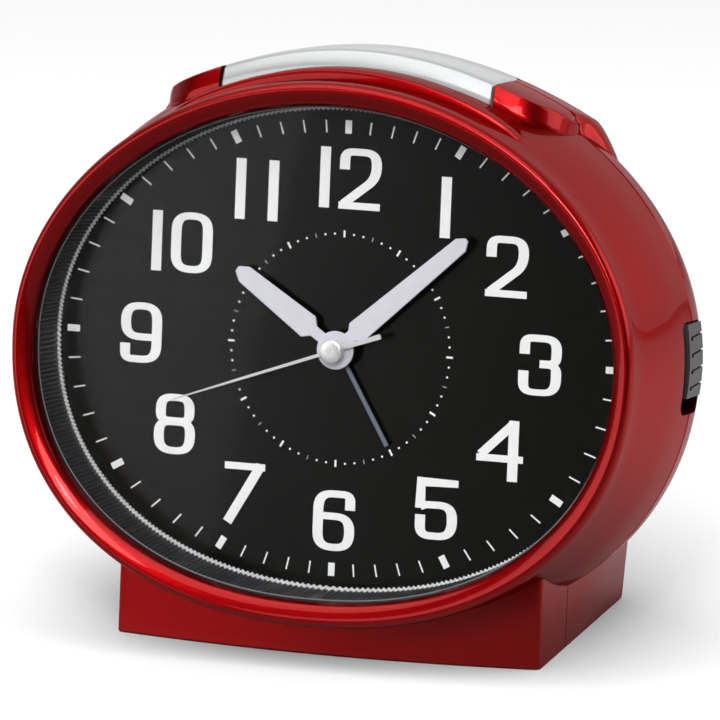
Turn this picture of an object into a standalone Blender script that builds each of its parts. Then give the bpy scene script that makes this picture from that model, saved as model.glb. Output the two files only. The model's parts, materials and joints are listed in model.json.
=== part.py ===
"""Bedside quartz alarm clock: an oval barrel case on a block stand, with a snooze bar, a side
slide switch, four hands, a quartz movement with its gear trains, and a battery bay.

Everything is modelled in the dial's own frame and hangs on one empty that leans it back:
x to the right, y into the clock, z up the dial, origin at the centre of the dial's front face.
Numbers are in millimetres and become metres where a mesh is made.
"""

import math

import bmesh
import bpy
from mathutils import Vector

MM = 0.001
GAP = 0.3

# The case, as half-widths and half-heights of its oval outlines.
LEAN_DEG = 8.0
LIP_A, LIP_B = 60.2, 49.8
SEAM_A, SEAM_B = 62.5, 51.7
SEAM_Y = 14.4
POWER_TOP, POWER_BOTTOM = 2.05, 2.2
RIM_Y = -9.7
WALL = 2.2
SEGMENTS = 56

# The stand.
STAND_HALF = 41.1
STAND_FRONT_Y = -1.2
STAND_BOW = 3.0
STAND_BOTTOM_Z = -55.95
STAND_BACK_Y = 49.5
FLOOR_SLOPE = math.tan(math.radians(LEAN_DEG))
BACK_TOP_Y, BACK_TOP_Z = 56.4, -21.0
TILT = math.radians(LEAN_DEG)
STAND_BASE_Y = -18.62
STAND_BASE_Z = STAND_FRONT_Y * math.sin(TILT) - STAND_BOTTOM_Z * math.cos(TILT)

# The arch on top, which carries the snooze bar.
ARCH_Z = 54.85
ARCH_RADIUS = 74.5
ARCH_HALF = 39.6
LEDGE_Z = 51.7
LEDGE_RADIUS = 61.0
ARCH_FRONT_Y = 3.0
BAR_HALF = 26.3
BAR_BACK_Y = 19.0
SNOOZE_TRAVEL = 1.5

# The slide switch in the right-hand side.
SLOT_Y = (12.0, 21.4)
SLOT_Z = (-9.1, 8.6)
SLIDER_Z = (-5.8, 8.3)

# The hands, as degrees clockwise from twelve.
HOUR_DEG, MINUTE_DEG, SECOND_DEG, ALARM_DEG = 304.3, 48.0, 249.9, 149.3

# The gear trains: teeth and centre distances.
CENTRE_TO_THIRD = 11.9
CENTRE_TO_FIFTH = 8.4
CENTRE_TO_MINUTE = 7.2
KNOB_TO_MINUTE = 7.2
CENTRE_TO_ALARM = 11.2
KNOB_TO_ALARM = 6.3
MOVEMENT_X = 22.0
MOVEMENT_Z = (-25.0, 27.0)

RED = (0.36, 0.004, 0.008)
BLACK = (0.012, 0.012, 0.013)


# ---------------------------------------------------------------- scene and materials

for old in list(bpy.data.objects):
    bpy.data.objects.remove(old, do_unlink=True)

parts = bpy.data.collections.new("alarm_clock")
cutters = bpy.data.collections.new("cutters")
bpy.context.scene.collection.children.link(parts)
bpy.context.scene.collection.children.link(cutters)

lean = bpy.data.objects.new("lean", None)
parts.objects.link(lean)
lean.rotation_euler.x = -TILT
lean.location = (0.0, STAND_BASE_Y * MM, STAND_BASE_Z * MM)


def material(name, colour, roughness, metallic=0.0, alpha=1.0):
    made = bpy.data.materials.get(name)
    if made:
        return made
    made = bpy.data.materials.new(name)
    made.use_nodes = True
    shader = made.node_tree.nodes["Principled BSDF"]
    shader.inputs["Base Color"].default_value = (*colour, 1.0)
    shader.inputs["Roughness"].default_value = roughness
    shader.inputs["Metallic"].default_value = metallic
    shader.inputs["Alpha"].default_value = alpha
    made.diffuse_color = (*colour, alpha)
    return made


FINISHES = {
    "red": (RED, 0.25, 0.6),
    "silver": ((0.75, 0.75, 0.76), 0.25, 0.9),
    "black": (BLACK, 0.4, 0.0),
    "grey": ((0.08, 0.08, 0.085), 0.5, 0.0),
    "white": ((0.7, 0.7, 0.8), 0.4, 0.0),
    "blue": ((0.25, 0.3, 0.4), 0.3, 0.3),
    "brass": ((0.6, 0.45, 0.2), 0.35, 0.9),
    "steel": ((0.55, 0.55, 0.57), 0.3, 1.0),
    "nylon": ((0.75, 0.73, 0.68), 0.5, 0.0),
    "copper": ((0.6, 0.22, 0.08), 0.35, 0.8),
    "green": ((0.02, 0.16, 0.06), 0.4, 0.0),
    "cell": ((0.15, 0.16, 0.2), 0.3, 0.6),
    "led": ((0.85, 0.88, 0.8), 0.1, 0.0),
}
CLEAR = material("clear", (0.9, 0.9, 0.9), 0.03, 0.0, 0.2)


def finish(name):
    return material(name, *FINISHES[name])


# ---------------------------------------------------------------- making objects


def add_object(name, mesh, look, cutter=False, turn_about=None):
    """Links a mesh as an object of the dial frame. turn_about is the (x, z) of its origin's axis."""
    made = bpy.data.objects.new(name, mesh)
    made.parent = lean
    if turn_about:
        at = Vector((turn_about[0] * MM, 0.0, turn_about[1] * MM))
        for vertex in mesh.vertices:
            vertex.co -= at
        made.location = at
    if cutter:
        cutters.objects.link(made)
        made.hide_render = True
        made.display_type = "WIRE"
        return made
    parts.objects.link(made)
    mesh.materials.append(look if isinstance(look, bpy.types.Material) else finish(look))
    mesh.shade_smooth()
    mesh.set_sharp_from_angle(angle=math.radians(35))
    return made


def mesh_of(name, points, faces):
    mesh = bpy.data.meshes.new(name)
    mesh.from_pydata([Vector(p) * MM for p in points], [], faces)
    bm = bmesh.new()
    bm.from_mesh(mesh)
    bmesh.ops.recalc_face_normals(bm, faces=bm.faces)
    bm.to_mesh(mesh)
    bm.free()
    return mesh


def loft(name, rings, look=None, cutter=False, closed=False):
    """Skins loops of equal point count. The ends are capped, or joined to each other when closed is set."""
    count = len(rings[0])
    points = [p for ring in rings for p in ring]
    faces = []
    last = len(rings) if closed else len(rings) - 1
    for i in range(last):
        here, there = i * count, (i + 1) % len(rings) * count
        for j in range(count):
            k = (j + 1) % count
            faces.append((here + j, here + k, there + k, there + j))
    if not closed:
        faces.append(tuple(range(count)))
        faces.append(tuple(range((len(rings) - 1) * count, len(rings) * count)))
    return add_object(name, mesh_of(name, points, faces), look, cutter)


def oval(y, a, b, power_top=POWER_TOP, power_bottom=POWER_BOTTOM, count=SEGMENTS):
    """A super-ellipse loop at depth y. Its upper and lower halves may have different fullness."""
    loop = []
    for i in range(count):
        angle = math.tau * (i + 0.5) / count
        power = power_top if math.sin(angle) > 0 else power_bottom
        x = a * math.copysign(abs(math.cos(angle)) ** (2 / power), math.cos(angle))
        z = b * math.copysign(abs(math.sin(angle)) ** (2 / power), math.sin(angle))
        loop.append((x, y, z))
    return loop


def inset_oval(y, inset, count=SEGMENTS):
    """An outline a constant distance inside the case's front lip."""
    return oval(y, LIP_A - inset, LIP_B - inset, count=count)


def oval_ring(name, section, look, count=SEGMENTS):
    """A closed ring whose section is a list of (inset from the lip, y)."""
    return loft(name, [inset_oval(y, inset, count) for inset, y in section], look, closed=True)


def oval_plate(name, inset, y0, y1, look, cutter=False, count=SEGMENTS):
    return loft(name, [inset_oval(y0, inset, count), inset_oval(y1, inset, count)], look, cutter)


def prism(name, outline, y0, y1, look=None, cutter=False, turn_about=None):
    """A flat (x, z) outline pushed from y0 to y1."""
    bm = bmesh.new()
    corners = [bm.verts.new((x * MM, y0 * MM, z * MM)) for x, z in outline]
    face = bm.faces.new(corners)
    pushed = bmesh.ops.extrude_face_region(bm, geom=[face])
    moved = [v for v in pushed["geom"] if isinstance(v, bmesh.types.BMVert)]
    bmesh.ops.translate(bm, verts=moved, vec=(0, (y1 - y0) * MM, 0))
    bmesh.ops.recalc_face_normals(bm, faces=bm.faces)
    mesh = bpy.data.meshes.new(name)
    bm.to_mesh(mesh)
    bm.free()
    return add_object(name, mesh, look, cutter, turn_about)


def rod(name, centre, stations, look=None, cutter=False, sides=12, turn_about=None):
    """A solid turned about an axis along y through centre, (x, z). stations are (y, radius)."""
    rings = []
    for y, radius in stations:
        ring = []
        for i in range(sides):
            angle = math.tau * i / sides
            x = centre[0] + radius * math.cos(angle)
            z = centre[1] + radius * math.sin(angle)
            ring.append((x, y, z))
        rings.append(ring)
    points = [p for ring in rings for p in ring]
    faces = [tuple(range(sides)), tuple(range(len(points) - sides, len(points)))]
    for i in range(len(rings) - 1):
        for j in range(sides):
            k = (j + 1) % sides
            faces.append((i * sides + j, i * sides + k, (i + 1) * sides + k, (i + 1) * sides + j))
    return add_object(name, mesh_of(name, points, faces), look, cutter, turn_about)


def box(name, low, high, look=None, cutter=False, bevel=0.0, turn=(0.0, 0.0, 0.0)):
    """A block from its low to its high corner, turned about its own centre and with rounded edges."""
    bm = bmesh.new()
    bmesh.ops.create_cube(bm, size=1.0)
    size = [(h - l) * MM for l, h in zip(low, high)]
    bmesh.ops.scale(bm, vec=size, verts=bm.verts)
    mesh = bpy.data.meshes.new(name)
    bm.to_mesh(mesh)
    bm.free()
    made = add_object(name, mesh, look, cutter)
    made.location = [(l + h) / 2 * MM for l, h in zip(low, high)]
    made.rotation_euler = [math.radians(t) for t in turn]
    if bevel:
        rounding = made.modifiers.new("rounding", "BEVEL")
        rounding.width = bevel * MM
        rounding.segments = 2
    return made


SHELLS = ("front_case", "rear_case")


def combine(target, other, operation="DIFFERENCE"):
    """Joins or cuts with a modifier. The thin-walled shells stay closed only with the manifold solver."""
    step = target.modifiers.new(other.name, "BOOLEAN")
    step.operation = operation
    step.object = other
    step.solver = "MANIFOLD" if target.name in SHELLS else "EXACT"
    return target


def arch(x):
    """Height of the arch's crest line at x."""
    return ARCH_Z - x * x / (2 * ARCH_RADIUS)


def ledge(x):
    """Height of the shelf in front of the bar at x."""
    return LEDGE_Z - x * x / (2 * LEDGE_RADIUS)


def floor_z(y):
    """Height of the level underside of the stand, in the leaning frame."""
    return STAND_BOTTOM_Z + (y - STAND_FRONT_Y) * FLOOR_SLOPE


def stand_front_y(x):
    return STAND_FRONT_Y - STAND_BOW * (1 - (x / STAND_HALF) ** 2)


def along_x(half, steps):
    return [half * (2 * i / steps - 1) for i in range(steps + 1)]


# ---------------------------------------------------------------- case shells


def barrel_rings(inset):
    """The front shell's outer form, from the groove behind the lip to the seam."""
    stations = ((RIM_Y, -0.2, -0.2), (-4.0, 0.75, 0.45), (3.0, 1.65, 1.1), (SEAM_Y, 2.3, 1.9))
    return [oval(y, LIP_A + da - inset, LIP_B + db - inset) for y, da, db in stations]


def dome_rings(inset, start):
    """The rear shell's outer form, from the seam to the flat of its back."""
    stations = (
        (14.7, 62.5, 51.7),
        (20.0, 61.9, 51.2),
        (27.0, 59.4, 49.4),
        (34.0, 54.9, 46.2),
        (41.0, 48.4, 41.6),
        (46.5, 41.2, 36.4),
        (50.4, 33.0, 30.0),
        (51.8, 26.5, 24.4),
    )
    rings = []
    for i, (y, a, b) in enumerate(stations):
        depth = start if i == 0 else y - inset
        rings.append(oval(depth, a - inset, b - inset, POWER_TOP, POWER_BOTTOM))
    return rings


def arch_plan_y(x):
    """The arch's front edge: straight, with rounded ends that reach the seam."""
    corner = 9.5
    over = abs(x) - (ARCH_HALF - corner)
    if over <= 0:
        return ARCH_FRONT_Y
    return ARCH_FRONT_Y + (SEAM_Y - ARCH_FRONT_Y) * (1 - math.sqrt(max(0.0, 1 - (over / corner) ** 2)))


def front_arch(name):
    """The part of the arch ahead of the seam, as sections across it."""
    rings = []
    for x in along_x(ARCH_HALF, 20):
        front = min(arch_plan_y(x), SEAM_Y - 0.6)
        crest = arch(x)
        rings.append([
            (x, front, 30.0),
            (x, front, crest - 2.6),
            (x, front + 0.5, crest - 0.7),
            (x, front + 1.0, crest),
            (x, SEAM_Y, crest),
            (x, SEAM_Y, 30.0),
        ])
    return loft(name, rings, cutter=True)


def front_ledge(name):
    """The low shelf that runs in front of the snooze bar and the shoulders."""
    rings = []
    for x in along_x(36.0, 14):
        crest = ledge(x)
        rings.append([
            (x, -3.6, 30.0),
            (x, -3.6, crest - 0.7),
            (x, -2.9, crest),
            (x, SEAM_Y, crest),
            (x, SEAM_Y, 30.0),
        ])
    return loft(name, rings, cutter=True)


def rear_arch(name, inset):
    """The tail of the arch behind the seam. It sinks into the dome and narrows a little."""
    rings = []
    half = 40.4 - inset
    for x in along_x(half, 16):
        squeeze = (1 - (x / half) ** 4)
        section = [(x, 14.7 if not inset else 14.0, 28.0)]
        for y, drop in ((14.7, 0.0), (21.4, 0.5), (26.0, 1.8), (30.5, 3.9), (35.5, 7.4)):
            depth = 14.7 + (y - 14.7) * (0.35 + 0.65 * squeeze)
            if inset and y == 14.7:
                depth = 14.0
            section.append((x * (1 - 0.06 * (y - 14.7) / 20), depth, arch(x) - drop - inset))
        section.append((x * 0.92, 14.7 + 25.0 * (0.35 + 0.65 * squeeze), 28.0))
        rings.append(section)
    return loft(name, rings, cutter=True)


def stand_front(name, inset):
    rings = []
    for x in along_x(STAND_HALF - inset, 8):
        front = stand_front_y(x) + inset
        top = -30.0
        back = SEAM_Y + (1.0 if inset else 0.0)
        rings.append([
            (x, front, floor_z(front) + inset),
            (x, front, top),
            (x, back, top),
            (x, back, floor_z(back) + inset),
        ])
    return loft(name, rings, cutter=True)


def stand_rear(name, inset):
    """The rear block: its back leans out from the table, then turns in under the dome."""
    start = 14.0 if inset else 14.7
    profile = [
        (start, None, 0.0),
        (STAND_BACK_Y, None, 0.0),
        (53.4, -33.0, 0.6),
        (BACK_TOP_Y, BACK_TOP_Z, 3.4),
        (55.6, -16.6, 5.0),
        (52.0, -11.6, 6.5),
        (42.0, -8.0, 4.0),
        (start, -8.0, 0.0),
    ]
    half = STAND_HALF - inset
    flat = 30.5
    rings = []
    for x in (-half, -0.35 * flat - 0.65 * half, -flat, flat, 0.65 * half + 0.35 * flat, half):
        pull = max(0.0, (abs(x) - flat) / (half - flat)) ** 2
        ring = []
        for i, (y, z, sweep) in enumerate(profile):
            depth = y - inset if 1 <= i <= 5 else y
            height = floor_z(y) + inset if z is None else z - (inset if i >= 4 else 0.0)
            ring.append((x, depth - sweep * pull, height))
        rings.append(ring)
    return loft(name, rings, cutter=True)


UPPER_BOSSES = ((-42.5, 32.5), (42.5, 32.5))
LOWER_BOSSES = ((-36.5, -40.5), (36.5, -40.5))
CASE_BOSSES = UPPER_BOSSES + LOWER_BOSSES


def clipped(post, name, rings):
    """Keeps only what of a post lies inside the outer form that the rings skin."""
    return combine(post, loft(name, rings, cutter=True), "INTERSECT")


def front_case():
    case = loft("front_case", barrel_rings(0.0), "red")
    combine(case, stand_front("cut_stand_outer", 0.0), "UNION")
    combine(case, front_ledge("cut_ledge"), "UNION")
    combine(case, front_arch("cut_arch_outer"), "UNION")
    hollow = [
        inset_oval(RIM_Y - 3.0, 1.1),
        inset_oval(-6.9, 1.1),
        inset_oval(-6.9, 3.0),
        inset_oval(-4.9, 3.0),
        inset_oval(-4.9, 1.6),
        inset_oval(3.0, 0.6),
        inset_oval(SEAM_Y + 1.0, 0.0),
    ]
    combine(case, loft("cut_hollow", hollow, cutter=True))
    combine(case, stand_front("cut_stand_inner", WALL))
    for i, place in enumerate(CASE_BOSSES):
        start = 1.2 if place in UPPER_BOSSES else 0.2
        post = rod(f"cut_post_{i}", place, ((start, 3.4), (14.0, 3.4)), cutter=True)
        if place in UPPER_BOSSES:
            clipped(post, f"cut_post_form_{i}", barrel_rings(0.1))
        combine(case, post, "UNION")
        combine(case, rod(f"cut_pilot_{i}", place, ((2.6, 1.5), (20.0, 1.5)), cutter=True))
    combine(case, box("cut_pocket", (-BAR_HALF - GAP, ARCH_FRONT_Y - GAP, 38.0),
                      (BAR_HALF + GAP, SEAM_Y + 2.0, 60.0), cutter=True))
    combine(case, box("cut_slot", (55.0, SLOT_Y[0], SLOT_Z[0]),
                      (70.0, SLOT_Y[1], SLOT_Z[1]), cutter=True, bevel=0.8))
    return case


def rear_case():
    case = loft("rear_case", dome_rings(0.0, SEAM_Y + GAP), "red")
    combine(case, stand_rear("cut_rear_block", 0.0), "UNION")
    combine(case, rear_arch("cut_rear_arch", 0.0), "UNION")
    combine(case, loft("cut_rear_hollow", dome_rings(WALL, 12.0), cutter=True))
    combine(case, stand_rear("cut_rear_block_inner", WALL))
    combine(case, rear_arch("cut_rear_arch_inner", WALL))
    for i, place in enumerate(CASE_BOSSES):
        reach = 60.0 if place in UPPER_BOSSES else 50.3
        boss = rod(f"cut_boss_{i}", place, ((15.2, 4.4), (reach, 4.4)), cutter=True)
        if place in UPPER_BOSSES:
            clipped(boss, f"cut_boss_form_{i}", dome_rings(0.1, SEAM_Y))
        combine(case, boss, "UNION")
        combine(case, rod(f"cut_boss_well_{i}", place, ((19.0, 3.2), (70.0, 3.2)), cutter=True))
        combine(case, rod(f"cut_boss_hole_{i}", place, ((10.0, 1.7), (26.0, 1.7)), cutter=True))
    combine(case, box("cut_rear_pocket", (-BAR_HALF - GAP, SEAM_Y - 2.0, 38.0),
                      (BAR_HALF + GAP, BAR_BACK_Y + GAP, 60.0), cutter=True))
    combine(case, box("cut_rear_slot", (55.0, SLOT_Y[0], SLOT_Z[0]),
                      (70.0, SLOT_Y[1], SLOT_Z[1]), cutter=True, bevel=0.8))
    return case


# ---------------------------------------------------------------- front pieces


def bezel():
    """The rounded lip round the window, with a spigot that drops into the front shell's rim."""
    section = [
        (0.0, -10.0),
        (-0.05, -11.0),
        (0.5, -12.4),
        (2.0, -13.2),
        (3.3, -12.3),
        (4.0, -10.2),
        (3.9, -9.9),
        (2.8, -9.9),
        (2.8, -8.5),
        (1.4, -8.5),
        (1.4, -10.0),
    ]
    return oval_ring("bezel", section, "red")


def light_ring():
    """The dark clear wall between lens and dial, which carries the lamp's light round the dial."""
    section = [
        (1.5, -8.1),
        (1.5, -7.2),
        (3.3, -7.2),
        (3.9, -0.4),
        (5.0, -0.4),
        (4.1, -8.1),
    ]
    return oval_ring("light_ring", section, "grey")


def dial():
    plate = oval_plate("dial", 4.2, 0.0, 0.8, "black")
    return combine(plate, rod("cut_dial_hole", (0, 0), ((-1.0, 3.2), (2.0, 3.2)), cutter=True))


def dial_frame():
    """The chassis plate that holds the dial from behind and lets the movement through."""
    plate = oval_plate("dial_frame", 5.2, 1.1, 2.4, "grey")
    window = box("cut_window", (-MOVEMENT_X - GAP, 0.0, MOVEMENT_Z[0] - GAP),
                 (MOVEMENT_X + GAP, 4.0, MOVEMENT_Z[1] + GAP), cutter=True)
    for i, place in enumerate(UPPER_BOSSES):
        combine(plate, rod(f"cut_post_notch_{i}", place, ((0.0, 3.8), (4.0, 3.8)), cutter=True))
    return combine(plate, window)


def snooze_bar():
    """A curved cap over the pocket in the arch: a channel section with soft edges."""
    rings = []
    for x in along_x(BAR_HALF, 14):
        top = arch(x)
        front, back, skin, skirt = ARCH_FRONT_Y, BAR_BACK_Y, 1.5, 6.2
        rings.append([
            (x, front, top - skirt),
            (x, front - 0.05, top - 2.6),
            (x, front + 0.35, top - 1.1),
            (x, front + 1.3, top - 0.25),
            (x, front + 2.6, top),
            (x, back - 0.8, top),
            (x, back, top - 0.8),
            (x, back, top - skirt),
            (x, back - skin, top - skirt),
            (x, back - skin, top - 2.0),
            (x, front + skin, top - 2.0),
            (x, front + skin, top - skirt),
        ])
    bar = loft("snooze_bar", rings, "silver")
    stem = upright("cut_stem", (0.0, 11.0), ((49.0, 2.0), (ARCH_Z - 1.0, 2.0)), cutter=True)
    combine(bar, stem, "UNION")
    return bar


def upright(name, centre, stations, look=None, cutter=False, sides=12):
    """A solid turned about an axis up the dial through centre, (x, y). stations are (z, radius)."""
    rings = []
    for z, radius in stations:
        ring = []
        for i in range(sides):
            angle = math.tau * i / sides
            ring.append((centre[0] + radius * math.cos(angle), centre[1] + radius * math.sin(angle), z))
        rings.append(ring)
    return loft(name, rings, look, cutter)


def crosswise(name, centre, stations, look=None, cutter=False, sides=16):
    """A solid turned about an axis along x through centre, (y, z). stations are (x, radius)."""
    rings = []
    for x, radius in stations:
        ring = []
        for i in range(sides):
            angle = math.tau * i / sides
            ring.append((x, centre[0] + radius * math.cos(angle), centre[1] + radius * math.sin(angle)))
        rings.append(ring)
    return loft(name, rings, look, cutter)


def coil(name, start, end, radii, turns, wire, look):
    """A wound spring between two points on one axis, its radius running between the two radii."""
    begin, finish_point = Vector(start), Vector(end)
    axis = (finish_point - begin).normalized()
    side = axis.orthogonal().normalized()
    other = axis.cross(side)
    steps = int(turns * 7)
    curve = bpy.data.curves.new(name, "CURVE")
    curve.dimensions = "3D"
    curve.bevel_depth = wire * MM
    curve.bevel_resolution = 2
    curve.use_fill_caps = True
    spline = curve.splines.new("POLY")
    spline.points.add(steps)
    for i in range(steps + 1):
        share = i / steps
        angle = math.tau * turns * share
        radius = radii[0] + (radii[1] - radii[0]) * share
        at = begin.lerp(finish_point, share)
        at = at + side * radius * math.cos(angle) + other * radius * math.sin(angle)
        spline.points[i].co = (*(at * MM), 1.0)
    made = bpy.data.objects.new(name, curve)
    made.parent = lean
    parts.objects.link(made)
    curve.materials.append(finish(look))
    return made


SPRING_X = 17.0
SNOOZE_Y = 11.0
SHELF_Z = 42.0


def snooze_works():
    box("snooze_shelf", (-22.0, 6.0, SHELF_Z - 1.4), (22.0, 16.0, SHELF_Z), "grey")
    for side, sign in (("left", -1), ("right", 1)):
        x = sign * SPRING_X
        coil(f"snooze_spring_{side}", (x, SNOOZE_Y, SHELF_Z + 0.6), (x, SNOOZE_Y, arch(x) - 2.7),
             (2.2, 2.2), 4, 0.3, "steel")
    switch = box("snooze_switch", (-3.1, SNOOZE_Y - 3.1, SHELF_Z + GAP),
                 (3.1, SNOOZE_Y + 3.1, SHELF_Z + 4.6), "black")
    hole = upright("cut_switch_hole", (0.0, SNOOZE_Y), ((SHELF_Z + 1.4, 1.7), (SHELF_Z + 9.0, 1.7)),
                   cutter=True)
    combine(switch, hole)
    upright("snooze_plunger", (0.0, SNOOZE_Y), ((SHELF_Z + 3.4, 1.4), (48.7, 1.4)), "nylon")


def alarm_slider():
    """The ribbed slider in the side slot, with a shutter behind the wall that keeps the slot closed."""
    outline = [(55.2, SLOT_Z[0] - 1.3), (56.6, SLOT_Z[0] - 1.3), (56.6, SLIDER_Z[0]), (62.2, SLIDER_Z[0])]
    ribs = 5
    pitch = (SLIDER_Z[1] - SLIDER_Z[0]) / ribs
    for i in range(ribs):
        z = SLIDER_Z[0] + i * pitch
        outline.append((62.9, z + 0.4))
        outline.append((63.1, z + pitch - 0.6))
        outline.append((62.3, z + pitch - (0.2 if i < ribs - 1 else 0.0)))
    outline += [(56.6, SLIDER_Z[1]), (56.6, SLOT_Z[1] + 3.5), (55.2, SLOT_Z[1] + 3.5)]
    prism("alarm_slider", outline, SLOT_Y[0] + 0.8, SLOT_Y[1] - 0.8, "black")
    body = box("alarm_switch", (48.0, 13.4, -8.0), (54.0, 19.8, 10.0), "black")
    combine(body, box("cut_lever_way", (51.0, 15.2, -3.4), (56.0, 18.2, 4.0), cutter=True))
    box("alarm_switch_lever", (51.8, 15.8, 1.0), (54.9, 17.6, 3.4), "nylon")


def lamps():
    """Two small lamps that shine into the light ring."""
    for side, sign in (("left", -1), ("right", 1)):
        place = (sign * 52.0, 0.0)
        stations = ((2.7, 1.2), (3.2, 1.5), (6.6, 1.5), (6.7, 1.9), (7.6, 1.9))
        rod(f"lamp_{side}", place, stations, "led", sides=10)


# ---------------------------------------------------------------- hands


def blade(name, degrees, stations, hub, hole, y0, y1, look, tail=()):
    """A flat hand. stations are (distance, half width) from the hub out, along its own direction."""
    angle = math.radians(90.0 - degrees)
    along = (math.cos(angle), math.sin(angle))
    across = (-along[1], along[0])

    def at(distance, half):
        return (along[0] * distance + across[0] * half, along[1] * distance + across[1] * half)

    right = [at(d, -w) for d, w in stations]
    left = [at(d, w) for d, w in reversed(stations)]
    outline = right + left if stations[-1][1] else right + left[1:]
    made = prism(name, outline, y0, y1, look, turn_about=(0.0, 0.0))
    combine(made, rod(f"cut_{name}_hub", (0, 0), ((y0, hub), (y1, hub)), cutter=True, sides=24), "UNION")
    if tail:
        back = [at(-d, -w) for d, w in tail] + [at(-d, w) for d, w in reversed(tail)]
        combine(made, prism(f"cut_{name}_tail", back, y0, y1, cutter=True), "UNION")
    combine(made, rod(f"cut_{name}_hole", (0, 0), ((y0 - 1, hole), (y1 + 1, hole)), cutter=True))
    return made


def hands():
    blade("alarm_hand", ALARM_DEG, ((0.0, 0.6), (20.0, 0.5)), 2.7, 2.2, -1.3, -0.95, "blue")
    blade("hour_hand", HOUR_DEG, ((0.0, 1.0), (5.4, 1.05), (6.6, 2.35), (23.4, 1.75), (25.2, 0.0)),
          3.2, 1.65, -2.1, -1.7, "white")
    blade("minute_hand", MINUTE_DEG, ((0.0, 1.2), (4.2, 1.25), (5.3, 2.2), (31.2, 1.6), (33.0, 0.0)),
          3.55, 1.1, -2.9, -2.5, "white")
    blade("second_hand", SECOND_DEG, ((0.0, 0.35), (32.8, 0.15)), 1.6, 0.55, -3.8, -3.5, "silver",
          tail=((0.0, 0.45), (9.6, 0.6)))
    rod("second_hand_cap", (0, 0), ((-5.6, 1.85), (-5.35, 2.1), (-4.1, 2.1)), "silver", sides=24,
        turn_about=(0.0, 0.0))


# ---------------------------------------------------------------- movement


def polar(centre, distance, degrees):
    angle = math.radians(degrees)
    return (centre[0] + distance * math.cos(angle), centre[1] + distance * math.sin(angle))


CENTRE = (0.0, 0.0)
THIRD_AXIS = polar(CENTRE, CENTRE_TO_THIRD, 270)
FIFTH_AXIS = polar(CENTRE, CENTRE_TO_FIFTH, 90)
ROTOR_AXIS = polar(FIFTH_AXIS, CENTRE_TO_FIFTH, 60)
MINUTE_AXIS = polar(CENTRE, CENTRE_TO_MINUTE, 30)
TIME_AXIS = polar(MINUTE_AXIS, KNOB_TO_MINUTE, 10)
ALARM_AXIS = polar(CENTRE, CENTRE_TO_ALARM, 160)
ALARM_KNOB_AXIS = polar(ALARM_AXIS, KNOB_TO_ALARM, 170)


def toothed(centre, teeth, pitch_radius, phase, clearance=0.1):
    """The outline of a spur gear, whose teeth have a flat tip. One is centred on phase, in degrees."""
    module = 2 * pitch_radius / teeth
    tip, root = pitch_radius + 0.75 * module, pitch_radius - 0.95 * module - clearance
    step = 360.0 / teeth
    outline = []
    for i in range(teeth):
        middle = phase + i * step
        outline.append(polar(centre, tip, middle - 0.10 * step))
        outline.append(polar(centre, tip, middle + 0.10 * step))
        outline.append(polar(centre, root, middle + 0.50 * step))
    return outline


def meshing_phase(teeth, phase, direction, next_teeth):
    """The phase of a gear that meshes with a gear of the given phase, lying in that direction from it."""
    step = 360.0 / teeth
    off = (phase - direction + step / 2) % step - step / 2
    return direction + 180.0 - off * teeth / next_teeth + 180.0 / next_teeth


def wheel(name, centre, look, layers, arbor, bore=0.0):
    """One arbor, of (y, radius) stations, with its gears: (teeth, pitch radius, phase, y0, y1) each."""
    teeth, pitch_radius, phase, y0, y1 = layers[0]
    made = prism(name, toothed(centre, teeth, pitch_radius, phase), y0, y1, look, turn_about=centre)
    for i, (teeth, pitch_radius, phase, y0, y1) in enumerate(layers[1:]):
        extra = prism(f"cut_{name}_{i}", toothed(centre, teeth, pitch_radius, phase), y0, y1, cutter=True)
        combine(made, extra, "UNION")
    combine(made, rod(f"cut_{name}_arbor", centre, arbor, cutter=True, sides=12), "UNION")
    if bore:
        hole = rod(f"cut_{name}_bore", centre, ((-9.0, bore), (30.0, bore)), cutter=True, sides=12)
        combine(made, hole)
    return made


def going_train():
    """Rotor, fifth wheel, seconds wheel, third wheel and centre wheel: 30 to 1, then 60 to 1."""
    fifth_phase = 4.0
    seconds_phase = meshing_phase(8, fifth_phase, 270, 40)
    pinion_phase = 10.0
    third_phase = meshing_phase(8, pinion_phase, 270, 60)
    third_pinion_phase = 3.0
    centre_phase = meshing_phase(8, third_pinion_phase, 90, 64)
    rotor_phase = meshing_phase(48, 0.0, 60, 8)
    wheel("seconds_wheel", CENTRE, "nylon",
          [(40, 7.0, seconds_phase, 13.0, 13.7), (8, 1.4, pinion_phase, 10.4, 13.2)],
          ((-3.95, 0.4), (14.3, 0.4)))
    wheel("third_wheel", THIRD_AXIS, "nylon",
          [(60, 10.5, third_phase, 11.0, 11.7),
           (8, CENTRE_TO_THIRD * 8 / 72, third_pinion_phase, 8.3, 11.2)],
          ((7.6, 0.35), (12.8, 0.35)))
    wheel("centre_wheel", CENTRE, "brass",
          [(64, CENTRE_TO_THIRD * 64 / 72, centre_phase, 8.7, 9.3)],
          ((8.4, 1.6), (9.9, 1.6)), bore=0.65)
    wheel("fifth_wheel", FIFTH_AXIS, "nylon",
          [(48, 7.2, 0.0, 14.6, 15.1), (8, 1.4, fifth_phase, 12.7, 14.8)],
          ((12.0, 0.35), (15.7, 0.35)))
    wheel("rotor", ROTOR_AXIS, "steel",
          [(8, 1.2, rotor_phase, 12.2, 15.3)],
          ((8.2, 0.3), (9.4, 0.3), (9.4, 2.6), (11.8, 2.6), (11.8, 0.6),
           (12.4, 0.6), (12.4, 0.3), (15.7, 0.3)))


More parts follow.
